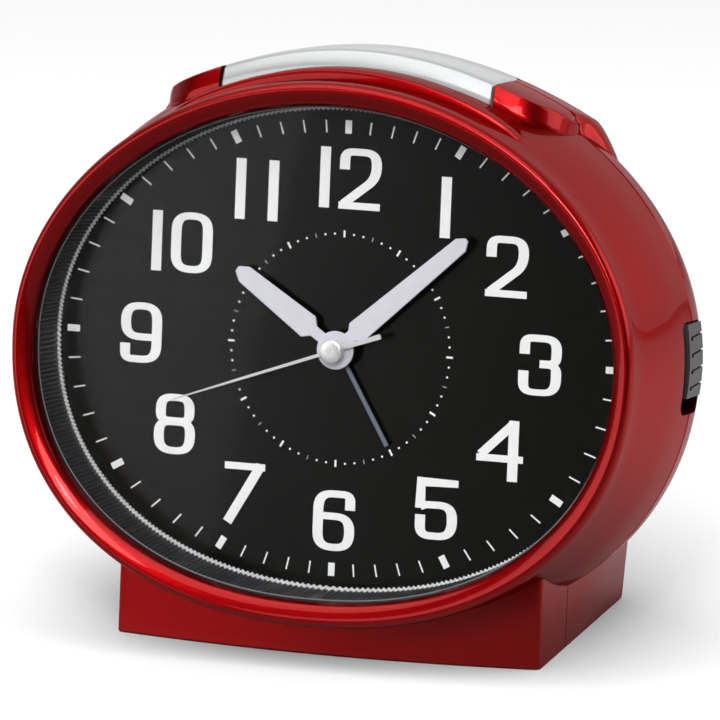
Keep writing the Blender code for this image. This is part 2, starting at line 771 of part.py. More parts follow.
def motion_work():
    """Cannon pinion, minute wheel and hour wheel, 12 to 1, and the setting pinion on its long shaft."""
    cannon_phase = 5.0
    minute_phase = meshing_phase(12, cannon_phase, 30, 36)
    small_phase = 7.0
    hour_phase = meshing_phase(10, small_phase, 210, 40)
    setting_phase = meshing_phase(36, minute_phase, 10, 12)
    wheel("cannon_pinion", CENTRE, "brass", [(12, 1.8, cannon_phase, 5.6, 6.8)],
          ((-3.1, 0.95), (7.9, 0.95)), bore=0.6)
    wheel("minute_wheel", MINUTE_AXIS, "nylon",
          [(36, 5.4, minute_phase, 5.9, 6.5), (10, 1.44, small_phase, 4.2, 6.1)],
          ((3.95, 0.35), (7.6, 0.35)))
    wheel("hour_wheel", CENTRE, "nylon", [(40, 5.76, hour_phase, 4.4, 5.1)],
          ((-2.3, 1.5), (5.3, 1.5)), bore=1.15)
    wheel("time_set_shaft", TIME_AXIS, "nylon", [(12, 1.8, setting_phase, 5.6, 6.8)],
          ((4.6, 0.5), (6.0, 0.5), (6.0, 1.2), (51.9, 1.2)))


def alarm_work():
    """Alarm wheel, its intermediate wheel and the alarm setting shaft."""
    alarm_phase = 0.0
    idler_phase = meshing_phase(40, alarm_phase, 160, 24)
    setting_phase = meshing_phase(24, idler_phase, 170, 12)
    wheel("alarm_wheel", CENTRE, "nylon", [(40, 7.0, alarm_phase, 3.1, 3.7)],
          ((-1.5, 2.05), (3.9, 2.05)), bore=1.7)
    wheel("alarm_idler", ALARM_AXIS, "nylon", [(24, 4.2, idler_phase, 3.0, 3.8)],
          ((2.9, 0.5), (7.2, 0.5)))
    wheel("alarm_set_shaft", ALARM_KNOB_AXIS, "nylon", [(12, 2.1, setting_phase, 3.0, 4.2)],
          ((2.9, 0.5), (3.2, 0.5), (3.2, 1.2), (51.9, 1.2)))


def movement_housing():
    low, high = MOVEMENT_Z
    side = MOVEMENT_X
    tray = box("movement_front", (-side, 1.2, low), (side, 9.8, high), "grey")
    combine(tray, box("cut_tray", (-side + 1.2, 2.6, low + 1.2), (side - 1.2, 12.0, high - 1.2), cutter=True))
    combine(tray, rod("cut_tube", CENTRE, ((-0.6, 2.85), (2.5, 2.85)), cutter=True), "UNION")
    combine(tray, rod("cut_tube_bore", CENTRE, ((-3.0, 2.25), (6.0, 2.25)), cutter=True))
    lid = box("movement_back", (-side, 10.1, low), (side, 17.6, high), "grey")
    combine(lid, box("cut_lid", (-side + 1.2, 8.0, low + 1.2), (side - 1.2, 16.2, high - 1.2), cutter=True))
    for name, axis in (("time", TIME_AXIS), ("alarm", ALARM_KNOB_AXIS)):
        combine(lid, rod(f"cut_lid_{name}", axis, ((14.0, 1.6), (20.0, 1.6)), cutter=True))


def motor():
    """The stepping motor's stator and coil, and the quartz can."""
    stator = box("stator", (-15.0, 10.2, 11.6), (9.0, 11.0, 19.8), "steel")
    combine(stator, rod("cut_rotor_way", ROTOR_AXIS, ((9.0, 3.0), (12.0, 3.0)), cutter=True))
    combine(stator, box("cut_stator_bay", (-12.5, 9.0, 14.0), (-0.6, 12.0, 21.0), cutter=True))
    spool = ((-12.0, 2.6), (-11.3, 2.6), (-11.3, 2.1), (5.3, 2.1), (5.3, 2.6), (6.0, 2.6))
    crosswise("motor_coil", (10.6, 22.9), spool, "copper", sides=12)
    crosswise("quartz_can", (6.0, 23.4), ((9.0, 1.0), (15.4, 1.0)), "steel", sides=10)


# ---------------------------------------------------------------- rear pieces


CELL_Y, CELL_Z, CELL_RADIUS = 41.0, -37.6, 7.1


def knobs():
    for name, axis in (("time_set_knob", TIME_AXIS), ("alarm_set_knob", ALARM_KNOB_AXIS)):
        stations = ((52.2, 2.2), (52.6, 2.2), (52.6, 5.4), (55.6, 5.6), (56.1, 5.1))
        rod(name, axis, stations, "black", sides=24, turn_about=axis)


def battery_bay():
    crosswise("battery_cell", (CELL_Y, CELL_Z),
              ((-25.0, CELL_RADIUS), (24.0, CELL_RADIUS), (24.0, 2.7), (25.2, 2.7)), "cell", sides=20)
    holder = box("battery_holder", (-31.5, 31.0, -45.9), (31.5, 46.6, -29.0), "black")
    combine(holder, crosswise("cut_cell_way", (CELL_Y, CELL_Z), ((-29.6, 7.6), (27.2, 7.6)), cutter=True))
    combine(holder, box("cut_cell_mouth", (-29.6, CELL_Y, CELL_Z - 7.6), (27.2, 60.0, CELL_Z + 7.6),
                        cutter=True))
    coil("contact_spring", (-29.0, CELL_Y, CELL_Z), (-25.6, CELL_Y, CELL_Z), (4.2, 2.0), 3, 0.3, "steel")
    box("contact_plate", (26.2, CELL_Y - 4.0, CELL_Z - 4.0), (26.6, CELL_Y + 4.0, CELL_Z + 4.0), "steel")


DOOR_LOW = (50.15, -46.0)
DOOR_LENGTH = 20.0
DOOR_HALF = 29.0
DOOR_THICK = 1.8
DOOR_TILT = math.degrees(math.atan2(BACK_TOP_Y - STAND_BACK_Y, BACK_TOP_Z - floor_z(STAND_BACK_Y)))


def door_point(out, up):
    """A point of the leaning back face: out from its skin's middle, and up it from the door's hinge."""
    lean_angle = math.radians(DOOR_TILT)
    skin = DOOR_THICK / 2
    y = DOOR_LOW[0] + up * math.sin(lean_angle) + (out - skin) * math.cos(lean_angle)
    z = DOOR_LOW[1] + up * math.cos(lean_angle) - (out - skin) * math.sin(lean_angle)
    return (y, z)


def section_prism(name, outline, half, look=None, cutter=False):
    """A (y, z) outline pushed from -half to half along x."""
    return loft(name, [[(-half, y, z) for y, z in outline], [(half, y, z) for y, z in outline]], look, cutter)


def door_outline(reach, length):
    """The door's section: a rounded hinge edge and a square top edge."""
    outline = []
    for i in range(9):
        angle = math.radians(180.0 + 180.0 * i / 8)
        outline.append(door_point(reach * math.cos(angle), reach * math.sin(angle)))
    outline.append(door_point(reach, length))
    outline.append(door_point(-reach, length))
    return outline


def battery_door():
    door = section_prism("battery_door", door_outline(DOOR_THICK / 2, DOOR_LENGTH), DOOR_HALF, "red")
    pivot = door_point(0.0, 0.0)
    shift = Vector((0.0, pivot[0] * MM, pivot[1] * MM))
    for vertex in door.data.vertices:
        vertex.co -= shift
    door.location = shift
    return door


def open_rear(case):
    """Cuts the door's opening, the knob shafts' holes and the sounder's slots."""
    mouth = [door_point(o, u) for o, u in ((-9.0, -1.3), (5.0, -1.3), (5.0, DOOR_LENGTH + GAP),
                                          (-9.0, DOOR_LENGTH + GAP))]
    combine(case, section_prism("cut_door_mouth", mouth, DOOR_HALF + GAP, cutter=True))
    for name, axis in (("time", TIME_AXIS), ("alarm", ALARM_KNOB_AXIS)):
        combine(case, rod(f"cut_{name}_hole", axis, ((45.0, 1.8), (60.0, 1.8)), cutter=True))
    for i in range(5):
        x = 3.2 * (i - 2)
        combine(case, box(f"cut_sound_{i}", (x - 0.7, 45.0, 12.5), (x + 0.7, 60.0, 20.5), cutter=True))


def fittings():
    rod("sounder", (0.0, 13.0), ((40.5, 9.0), (41.5, 11.2), (46.8, 11.2)), "black", sides=24)
    box("circuit_board", (-30.0, 22.0, -46.0), (30.0, 23.4, -29.0), "green")
    box("control_chip", (-6.0, 23.7, -41.0), (6.0, 25.2, -34.0), "black")
    crosswise("capacitor", (26.6, -37.0), ((12.0, 2.5), (20.0, 2.5)), "blue", sides=12)


def screws():
    for i, place in enumerate(CASE_BOSSES):
        name = f"case_screw_{i + 1}"
        screw = rod(name, place, ((6.0, 0.6), (7.0, 1.1), (19.3, 1.1), (19.3, 2.7), (20.9, 2.7), (21.4, 2.2)),
                    "steel", sides=12)
        slot_low = (place[0] - 1.8, 20.6, place[1] - 0.3)
        slot_high = (place[0] + 1.8, 22.0, place[1] + 0.3)
        combine(screw, box(f"cut_{name}_slot", slot_low, slot_high, cutter=True))
    for side, sign in (("left", -1), ("right", 1)):
        place = (sign * 19.0, -20.0)
        rod(f"movement_screw_{side}", place, ((17.9, 2.2), (19.2, 2.2), (19.6, 1.6)), "steel", sides=12)


front = front_case()
rear = rear_case()
open_rear(rear)
bezel()
oval_plate("lens", 3.1, -9.6, -8.4, CLEAR)
light_ring()
dial()
dial_frame()
snooze_bar()
snooze_works()
alarm_slider()
lamps()
hands()
going_train()
motion_work()
alarm_work()
movement_housing()
motor()
knobs()
battery_bay()
battery_door()
fittings()
screws()
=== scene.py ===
"""The looks of a bedside quartz alarm clock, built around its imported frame.

Every visible outer piece is modelled here in the dial's own frame: x to the right, y into the
clock, z up the dial, in millimetres, with the origin on the hands' axis at the dial's face.
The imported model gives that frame's place and lean.
"""

import json

import math

import bmesh
import bpy
from mathutils import Matrix, Vector


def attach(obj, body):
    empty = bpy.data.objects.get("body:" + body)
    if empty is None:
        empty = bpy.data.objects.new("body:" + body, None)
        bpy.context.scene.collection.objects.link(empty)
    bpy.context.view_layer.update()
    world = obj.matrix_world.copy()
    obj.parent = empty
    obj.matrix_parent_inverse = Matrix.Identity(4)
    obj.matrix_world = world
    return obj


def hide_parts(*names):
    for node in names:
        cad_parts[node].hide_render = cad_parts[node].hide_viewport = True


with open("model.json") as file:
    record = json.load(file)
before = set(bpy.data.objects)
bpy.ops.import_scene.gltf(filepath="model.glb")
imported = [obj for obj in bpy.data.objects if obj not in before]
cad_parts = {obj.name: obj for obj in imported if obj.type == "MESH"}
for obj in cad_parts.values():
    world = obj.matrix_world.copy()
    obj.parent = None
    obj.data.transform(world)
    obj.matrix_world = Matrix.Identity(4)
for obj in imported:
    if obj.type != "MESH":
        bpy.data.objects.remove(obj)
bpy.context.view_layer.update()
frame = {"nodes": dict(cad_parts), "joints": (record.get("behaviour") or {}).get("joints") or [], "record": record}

MM = 0.001
JOINTS = {joint["name"]: joint for joint in frame["joints"]}


def dial_matrix():
    """The dial's frame in the world, from the hands' joint: y points into the clock along their axis."""
    turn = JOINTS["second_turn"]
    into = -Vector(turn["axis"]).normalized()
    across = Vector((1.0, 0.0, 0.0))
    up = across.cross(into)
    matrix = Matrix((across, into, up)).transposed().to_4x4()
    matrix.translation = Vector(turn["pos_m"])
    return matrix


DIAL = dial_matrix()


def dial_place(joint):
    """Where a joint's axis crosses the dial's plane, as (x, z)."""
    at = DIAL.inverted() @ Vector(JOINTS[joint]["pos_m"]) / MM
    return (at.x, at.z)


# ------------------------ driving sizes

LIP_A, LIP_B = 59.95, 49.7
LIP_LEAN = 0.045
POWER_TOP, POWER_BOTTOM = 1.97, 2.2
RIM_Y = -9.9
SEAM_Y = 14.4
SEAM_A, SEAM_B = 63.45, 53.15
SEAM_POWER_TOP, SEAM_POWER_BOTTOM = 1.98, 2.16
WALL = 2.2
GAP = 0.3
FINE = 224

STAND_HALF = 41.1
STAND_FRONT_Y = -1.2
STAND_BOW = 3.0
STAND_BOTTOM_Z = -55.95
STAND_BACK_Y = 49.5
BACK_TOP_Y, BACK_TOP_Z = 56.4, -21.0
FLOOR_SLOPE = math.tan(math.acos(DIAL.col[2].z))

ARCH_Z = 54.85
ARCH_RADIUS = 74.5
ARCH_HALF = 39.6
ARCH_FRONT_Y = 3.0
LEDGE_Z = 51.7
LEDGE_RADIUS = 61.0
BAR_HALF = 26.3
BAR_BACK_Y = 19.0
BAR_SKIN = 1.5

SLOT_Y = (9.9, 20.2)
SLOT_Z = (-8.7, 8.4)
BUTTON_Y = (11.4, 19.6)
BUTTON_Z = (-5.6, 8.0)
GROOVE_HALF = 0.17
HOUR_DEG, MINUTE_DEG, SECOND_DEG, ALARM_DEG = 304.3, 48.0, 249.9, 149.3
CASE_BOSSES = ((-42.5, 32.5), (42.5, 32.5), (-36.5, -40.5), (36.5, -40.5))


# ------------------------ materials


def colour_ramp(tree, value, stops):
    """A colour ramp fed by value. stops are (position, (red, green, blue))."""
    node = tree.nodes.new("ShaderNodeValToRGB")
    elements = node.color_ramp.elements
    for element, (position, colour) in zip(elements, (stops[0], stops[-1])):
        element.position, element.color = position, (*colour, 1.0)
    for position, colour in stops[1:-1]:
        elements.new(position).color = (*colour, 1.0)
    tree.links.new(value, node.inputs["Fac"])
    return node.outputs["Color"]


class Paint:
    """A Principled material whose colour, roughness and bump come from noise in object space."""

    def __init__(self, name, colour, roughness, **sockets):
        self.material = bpy.data.materials.new(name)
        self.material.use_nodes = True
        self.tree = self.material.node_tree
        self.link = self.tree.links.new
        self.shader = self.tree.nodes["Principled BSDF"]
        self.colour = (*colour, 1.0)
        self.shader.inputs["Base Color"].default_value = self.colour
        self.shader.inputs["Roughness"].default_value = roughness
        for socket, value in sockets.items():
            self.shader.inputs[socket.replace("_", " ")].default_value = value
        self.material.diffuse_color = self.colour
        self.coordinates = self.tree.nodes.new("ShaderNodeTexCoord").outputs["Object"]

    def noise(self, scale, stretch, detail=2.0):
        """Noise in object space, scale in bumps per metre."""
        mapping = self.tree.nodes.new("ShaderNodeMapping")
        mapping.inputs["Scale"].default_value = stretch
        self.link(self.coordinates, mapping.inputs["Vector"])
        texture = self.tree.nodes.new("ShaderNodeTexNoise")
        texture.inputs["Scale"].default_value = scale
        texture.inputs["Detail"].default_value = detail
        self.link(mapping.outputs["Vector"], texture.inputs["Vector"])
        return texture.outputs["Fac"]

    def cells(self, scale):
        """A random colour for each small cell, for metal flakes."""
        texture = self.tree.nodes.new("ShaderNodeTexVoronoi")
        texture.inputs["Scale"].default_value = scale
        self.link(self.coordinates, texture.inputs["Vector"])
        return texture.outputs["Color"]

    def vary(self, socket, value, low, high):
        """Runs a socket from low to high as value goes from 0.3 to 0.7."""
        self.link(colour_ramp(self.tree, value, ((0.3, low), (0.7, high))), self.shader.inputs[socket])

    def vary_colour(self, value, dark, light):
        """The base colour times dark to light."""
        low, high = ([min(1.0, c * share) for c in self.colour[:3]] for share in (dark, light))
        self.vary("Base Color", value, low, high)

    def bump(self, value, strength, distance_mm):
        node = self.tree.nodes.new("ShaderNodeBump")
        node.inputs["Strength"].default_value = strength
        node.inputs["Distance"].default_value = distance_mm * MM
        self.link(value, node.inputs["Height"])
        self.link(node.outputs["Normal"], self.shader.inputs["Normal"])


EVEN = (1.0, 1.0, 1.0)


def make_look(name, colour, roughness, flakes=None, shade=None, sheen=None, bump=None, stretch=EVEN, **sockets):
    """A material from its noises. flakes and shade are (scale, dark, light) of the colour, sheen is
    (scale, low, high) of the roughness and bump is (scale, strength, millimetres), each with the
    noise's detail after them where it isn't 2."""
    paint = Paint(name, colour, roughness, **sockets)
    if flakes:
        paint.vary_colour(paint.cells(flakes[0]), *flakes[1:])
    if shade:
        paint.vary_colour(paint.noise(shade[0], stretch, *shade[3:]), *shade[1:3])
    if sheen:
        low, high = sheen[1:]
        paint.vary("Roughness", paint.noise(sheen[0], stretch), (low,) * 3, (high,) * 3)
    if bump:
        paint.bump(paint.noise(bump[0], stretch, *bump[3:]), *bump[1:3])
    return paint.material


# By the record's slot, and by a name of its own where a piece's look differs from its slot's.
LOOKS = {
    "case_red": make_look(
        "red_lacquer", (0.28, 0.0018, 0.0026), 0.34, flakes=(5200.0, 0.93, 1.08), sheen=(90.0, 0.32, 0.37),
        bump=(1500.0, 0.05, 0.02), Metallic=0.96, Coat_Weight=0.32, Coat_Roughness=0.035,
        Specular_Tint=(0.5, 0.03, 0.03, 1.0)),
    "dial_black": make_look(
        "dial_black", (0.002, 0.002, 0.0012), 0.21, sheen=(3000.0, 0.20, 0.22), Specular_IOR_Level=0.3),
    # The white print also carries a faint emission: a painted glow that makes the ink look more brightly lit than the
    # lamps make it.
    "print": make_look(
        "print_white_painted_glow", (0.96, 0.97, 0.96), 0.45, shade=(900.0, 0.97, 1.02), bump=(3000.0, 0.15, 0.01),
        Emission_Color=(0.95, 0.97, 0.95, 1.0), Emission_Strength=0.1),
    "print_grey": make_look("print_grey", (0.50, 0.51, 0.52), 0.45, shade=(900.0, 0.95, 1.03)),
    "hand_white": make_look(
        "hand_lacquer", (0.79, 0.785, 0.86), 0.35, shade=(400.0, 0.97, 1.02), bump=(4000.0, 0.08, 0.01),
        Coat_Weight=0.2),
    "hand_blue": make_look(
        "alarm_hand_lacquer", (0.17, 0.20, 0.26), 0.35, shade=(400.0, 0.93, 1.05), Metallic=0.2),
    "second_hand": make_look(
        "second_hand_lacquer", (0.78, 0.79, 0.80), 0.3, shade=(400.0, 0.96, 1.02), Metallic=0.3),
    "cap_silver": make_look(
        "brushed_cap", (0.92, 0.92, 0.91), 0.3, sheen=(2500.0, 0.22, 0.42), bump=(3500.0, 0.2, 0.02),
        stretch=(1.0, 1.0, 0.03), Metallic=0.6),
    "bar_silver": make_look(
        "bar_silver", (0.45, 0.455, 0.46), 0.33, flakes=(6000.0, 0.96, 1.03), sheen=(120.0, 0.31, 0.36),
        bump=(1800.0, 0.05, 0.02), Metallic=0.7, Coat_Weight=0.2, Coat_Roughness=0.12),
    "ring_grey": make_look("ring_smoke", (0.030, 0.031, 0.034), 0.32, sheen=(200.0, 0.28, 0.38)),
    # A thin grey ring at the window's edge: a painted highlight that stands in for the light line the clear window's
    # edge shows.
    "bead": make_look("window_edge_highlight", (0.16, 0.165, 0.17), 0.2, sheen=(500.0, 0.15, 0.28)),
    # The ring's serrated foot: a pale tone, partly its own and partly a painted glint of the light its clear serrations
    # catch.
    "ring_edge": make_look("ring_edge", (0.85, 0.86, 0.87), 0.3, shade=(600.0, 0.9, 1.05)),
    "lens_clear": make_look(
        "lens_clear", (0.002, 0.002, 0.002), 0.02, sheen=(40.0, 0.015, 0.03), Alpha=0.05, IOR=1.49),
    "slider_grey": make_look(
        "slider_plastic", (0.026, 0.018, 0.021), 0.5, shade=(300.0, 0.9, 1.1), bump=(2500.0, 0.25, 0.03, 3.0)),
    "black_plastic": make_look(
        "black_plastic", (0.012, 0.012, 0.013), 0.4, shade=(250.0, 0.85, 1.2), bump=(2200.0, 0.3, 0.03, 3.0)),
    "inner_plastic": make_look(
        "inner_plastic", (0.05, 0.05, 0.053), 0.5, shade=(220.0, 0.88, 1.12), bump=(1800.0, 0.3, 0.04, 3.0)),
    "gear_nylon": make_look(
        "gear_nylon", (0.72, 0.70, 0.64), 0.42, shade=(500.0, 0.93, 1.04), bump=(2600.0, 0.15, 0.02),
        Subsurface_Weight=0.1),
    "steel": make_look(
        "plated_steel", (0.55, 0.55, 0.56), 0.3, sheen=(700.0, 0.22, 0.4), bump=(3000.0, 0.15, 0.02),
        Metallic=1.0),
    "brass": make_look(
        "turned_brass", (0.60, 0.42, 0.16), 0.3, sheen=(1500.0, 0.22, 0.38), stretch=(1.0, 0.05, 1.0),
        Metallic=1.0),
    "copper": make_look(
        "enamelled_wire", (0.62, 0.22, 0.07), 0.3, shade=(3000.0, 0.8, 1.1), bump=(5200.0, 0.8, 0.08),
        stretch=(1.0, 0.04, 0.04), Metallic=0.9, Coat_Weight=0.6),
    "board_green": make_look(
        "green_board", (0.012, 0.11, 0.04), 0.3, shade=(350.0, 0.75, 1.35, 4.0), Coat_Weight=0.4),
    "cell_wrap": make_look(
        "cell_wrap", (0.05, 0.07, 0.13), 0.28, shade=(60.0, 0.7, 1.4), stretch=(1.0, 0.1, 0.1), Metallic=0.4,
        Coat_Weight=0.7),
    "lamp_clear": make_look(
        "lamp_resin", (0.8, 0.82, 0.76), 0.08, sheen=(300.0, 0.05, 0.12), Transmission_Weight=0.6, IOR=1.5),
    "capacitor_blue": make_look(
        "capacitor_sleeve", (0.02, 0.05, 0.18), 0.3, shade=(300.0, 0.8, 1.2), Coat_Weight=0.4),
}
for steel_slot in ("rotor_steel", "screw_steel"):
    LOOKS[steel_slot] = LOOKS["steel"]


def finish_nodes():
    """Gives each CAD node the material of its record slot."""
    slots = {entry["node"]: entry["material_slot"] for entry in frame["record"]["subparts"]}
    for name, obj in frame["nodes"].items():
        look = LOOKS[slots[name]]
        if not obj.data.materials:
            obj.data.materials.append(look)
        for slot in obj.material_slots:
            slot.material = look


# ------------------------ making pieces


def mesh_of(name, points, faces):
    mesh = bpy.data.meshes.new(name)
    mesh.from_pydata([Vector(p) for p in points], [], faces)
    bm = bmesh.new()
    bm.from_mesh(mesh)
    bmesh.ops.recalc_face_normals(bm, faces=bm.faces)
    bm.to_mesh(mesh)
    bm.free()
    return mesh


def piece(name, mesh, look, body="case", stands_for=(), angle=30.0):
    """A visible piece from a mesh in the dial's frame and in millimetres, riding on a CAD body."""
    mesh.transform(DIAL @ Matrix.Scale(MM, 4))
    made = bpy.data.objects.new(name, mesh)
    bpy.context.scene.collection.objects.link(made)
    mesh.materials.clear()
    mesh.materials.append(LOOKS[look])
    mesh.shade_smooth()
    mesh.set_sharp_from_angle(angle=math.radians(angle))
    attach(made, body)
    if stands_for:
        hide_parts(*stands_for)
    return made


def loft(name, rings, closed=False, caps=True):
    """Skins loops of equal point count into a mesh. closed joins the last loop to the first."""
    count = len(rings[0])
    points = [p for ring in rings for p in ring]
    faces = []
    for i in range(len(rings) if closed else len(rings) - 1):
        here, there = i * count, (i + 1) % len(rings) * count
        for j in range(count):
            k = (j + 1) % count
            faces.append((here + j, here + k, there + k, there + j))
    if caps and not closed:
        faces.append(tuple(range(count)))
        faces.append(tuple(range((len(rings) - 1) * count, len(rings) * count)))
    return mesh_of(name, points, faces)


def solve(name, start, steps):
    """Joins and cuts a mesh with others, in order. steps are (operation, mesh)."""
    scene = bpy.context.scene.collection
    base = bpy.data.objects.new(name, start)
    scene.objects.link(base)
    helpers = []
    for operation, mesh in steps:
        helper = bpy.data.objects.new("helper", mesh)
        scene.objects.link(helper)
        helpers.append(helper)
        step = base.modifiers.new("step", "BOOLEAN")
        step.operation = operation
        step.object = helper
        step.solver = "MANIFOLD"
    bpy.context.view_layer.update()
    graph = bpy.context.evaluated_depsgraph_get()
    mesh = bpy.data.meshes.new_from_object(base.evaluated_get(graph))
    for helper in helpers + [base]:
        bpy.data.objects.remove(helper, do_unlink=True)
    return mesh


def oval_point(angle, a, b, powers=(POWER_TOP, POWER_BOTTOM)):
    """A point (x, z) of a super-ellipse. Its upper half is a little less full than its lower half."""
    cos, sin = math.cos(angle), math.sin(angle)
    power = powers[0] if sin > 0 else powers[1]
    return (a * math.copysign(abs(cos) ** (2 / power), cos), b * math.copysign(abs(sin) ** (2 / power), sin))


def oval(y, a, b, **powers):
    """A super-ellipse loop at depth y."""
    spots = [oval_point(math.tau * (i + 0.5) / FINE, a, b, **powers) for i in range(FINE)]
    return [(x, leaned(y, z), z) for x, z in spots]


def leaned(y, z):
    """Depth y with the lip's lean added: the lip leans back a little more than the dial does."""
    return y + LIP_LEAN * z * min(1.0, max(0.0, -y / 8.0))


def inset_oval(y, inset):
    """The lip's outline at depth y, drawn in by inset at the sides and a little more at top and bottom."""
    return oval(y, LIP_A - inset, LIP_B - 1.1 * inset)


def case_oval(y, a, b):
    """An outline of the case at or behind the seam."""
    return oval(y, a, b, powers=(SEAM_POWER_TOP, SEAM_POWER_BOTTOM))


def smooth_path(points, steps):
    """Points on a Catmull-Rom curve through the given ones, steps to a span."""
    found = []
    for i in range(len(points) - 1):
        before, start = points[max(i - 1, 0)], points[i]
        end, after = points[i + 1], points[min(i + 2, len(points) - 1)]
        for j in range(steps):
            t = j / steps
            weights = (
                (-t + 2 * t * t - t**3) / 2,
                (2 - 5 * t * t + 3 * t**3) / 2,
                (t + 4 * t * t - 3 * t**3) / 2,
                (-t * t + t**3) / 2,
            )
            spots = (before, start, end, after)
            found.append(tuple(sum(w * p[k] for w, p in zip(weights, spots)) for k in range(len(start))))
    found.append(tuple(points[-1]))
    return found


def prism(name, outline, y0, y1):
    """A flat (x, z) outline pushed from y0 to y1."""
    return loft(name, [[(x, y, z) for x, z in outline] for y in (y0, y1)])


def block(name, low, high):
    outline = [(low[0], low[2]), (high[0], low[2]), (high[0], high[2]), (low[0], high[2])]
    return prism(name, outline, low[1], high[1])


def turned(name, centre, stations, sides=48):
    """A solid turned about an axis along y through centre, (x, z). stations are (y, radius)."""
    turns = [(math.cos(math.tau * i / sides), math.sin(math.tau * i / sides)) for i in range(sides)]
    rings = [[(centre[0] + radius * cos, y, centre[1] + radius * sin) for cos, sin in turns] for y, radius in stations]
    return loft(name, rings)


def at_x(x, section):
    """A loop of (y, z) points standing at x."""
    return [(x, y, z) for y, z in section]


def along_x(half, steps):
    return [half * (2 * i / steps - 1) for i in range(steps + 1)]


def joined(name, meshes):
    """Several meshes as one, for separate raised marks of one printing."""
    bm = bmesh.new()
    for mesh in meshes:
        bm.from_mesh(mesh)
        bpy.data.meshes.remove(mesh)
    mesh = bpy.data.meshes.new(name)
    bm.to_mesh(mesh)
    bm.free()
    return mesh


# ------------------------ case shells


def arch(x):
    """Height of the arch's crest line at x."""
    return ARCH_Z - x * x / (2 * ARCH_RADIUS)


def ledge(x):
    """Height of the shelf in front of the bar at x."""
    return LEDGE_Z - x * x / (2 * LEDGE_RADIUS)


def floor_z(y):
    """Height of the level underside of the stand, in the leaning frame."""
    return STAND_BOTTOM_Z + (y - STAND_FRONT_Y) * FLOOR_SLOPE


def barrel_rings(inset):
    """The front shell's outer form, from the groove behind the lip to the seam."""
    stations = smooth_path(
        [(RIM_Y, -0.9, -0.8), (-6.0, -0.35, -0.2), (0.0, 1.1, 1.0), (7.0, 2.6, 2.6), (SEAM_Y - 0.3, 3.5, 3.45)], 3
    )
    rings = [case_oval(y, LIP_A + da - inset, LIP_B + db - inset) for y, da, db in stations]
    rings.append(case_oval(SEAM_Y, SEAM_A - 0.2 - inset, SEAM_B - 0.2 - inset))
    return rings


def dome_rings(inset, start):
    """The rear shell's outer form, from the seam to the flat of its back."""
    stations = smooth_path(
        [
            (14.7, SEAM_A, SEAM_B), (19.0, 63.2, 53.0), (23.0, 62.1, 52.0), (28.0, 59.9, 50.2), (34.0, 55.6, 46.8),
            (41.0, 48.8, 41.8), (46.5, 41.4, 36.5), (50.4, 33.0, 30.0), (51.8, 26.5, 24.4),
        ],
        3,
    )
    rings = [case_oval(start, stations[0][1] - inset - 0.2, stations[0][2] - inset - 0.2)]
    rings.append(case_oval(start + 0.25, stations[0][1] - inset, stations[0][2] - inset))
    rings += [case_oval(y - inset, a - inset, b - inset) for y, a, b in stations[1:]]
    return rings


def rounded_plan(x, half, corner, front, back):
    """A straight front edge whose ends turn back with a round corner."""
    over = abs(x) - (half - corner)
    if over <= 0:
        return front
    return front + (back - front) * (1 - math.sqrt(max(0.0, 1 - (over / corner) ** 2)))


def ease_ends(half, steps, ends=5, reach=9.5):
    """Stations across, closer together towards both ends, where corners are round."""
    outer = [half - reach * (1 - math.sin(math.radians(90 * i / ends))) for i in range(1, ends + 1)]
    inner = along_x(half - reach, steps)
    return [-x for x in reversed(outer)] + inner + outer


INSIDE_Z = 30.0  # where the solids added to the barrel's top end, inside it


def front_arch():
    """The shoulders beside the bar, ahead of the seam: a chamfer, then a soft top edge."""
    rings = []
    for x in ease_ends(ARCH_HALF, 30, 7):
        front = min(rounded_plan(x, ARCH_HALF, 9.5, ARCH_FRONT_Y, SEAM_Y), SEAM_Y - 0.9)
        crest = arch(x) - 1.3 * (max(0.0, abs(x) - 36.8) / 2.8) ** 2
        rings.append(at_x(x, [
            (front, INSIDE_Z), (front, crest - 3.0), (front + 0.12, crest - 2.75), (front + 0.75, crest - 0.45),
            (front + 0.95, crest - 0.12), (front + 1.3, crest), (SEAM_Y - 0.25, crest), (SEAM_Y, crest - 0.25),
            (SEAM_Y, INSIDE_Z),
        ]))
    return loft("arch", rings)


def front_ledge():
    """The low shelf that runs in front of the snooze bar and the shoulders."""
    rings = []
    for x in along_x(39.0, 42):
        crest = ledge(x) - 0.018 * max(0.0, abs(x) - 27.0) ** 2
        rings.append(at_x(x, [
            (-3.7, INSIDE_Z), (-3.7, crest - 0.8), (-3.45, crest - 0.3), (-2.9, crest), (SEAM_Y - 1.0, crest),
            (SEAM_Y - 1.0, INSIDE_Z),
        ]))
    return loft("ledge", rings)


def tail_section(y, flare, narrow, drop, inset):
    """The arch's tail cut across at depth y: its crest, round shoulders and walls that flare into the dome."""
    side = [
        (38.0 + 2.6 * flare, 0.0), (39.0 + 2.8 * flare, 0.55 + 0.1 * flare),
        (39.6 + 3.6 * flare, 1.8 + 0.25 * flare), (40.1 + 4.5 * flare, 3.2 + 0.7 * flare),
        (41.2 + 4.8 * flare, 4.2 + 1.9 * flare), (43.2 + 5.0 * flare, 6.0 + 3.0 * flare),
    ]
    side = smooth_path(side, 3)
    across = [(x, 0.0) for x in along_x(side[0][0] - 0.4, 26)]
    points = [(-x, fall) for x, fall in reversed(side)] + across + side
    ring = [(x * narrow - math.copysign(inset, x), y, arch(x * narrow) - fall - drop - inset) for x, fall in points]
    edge = ring[-1][0]
    return [(-edge, y, 26.0)] + ring + [(edge, y, 26.0)]


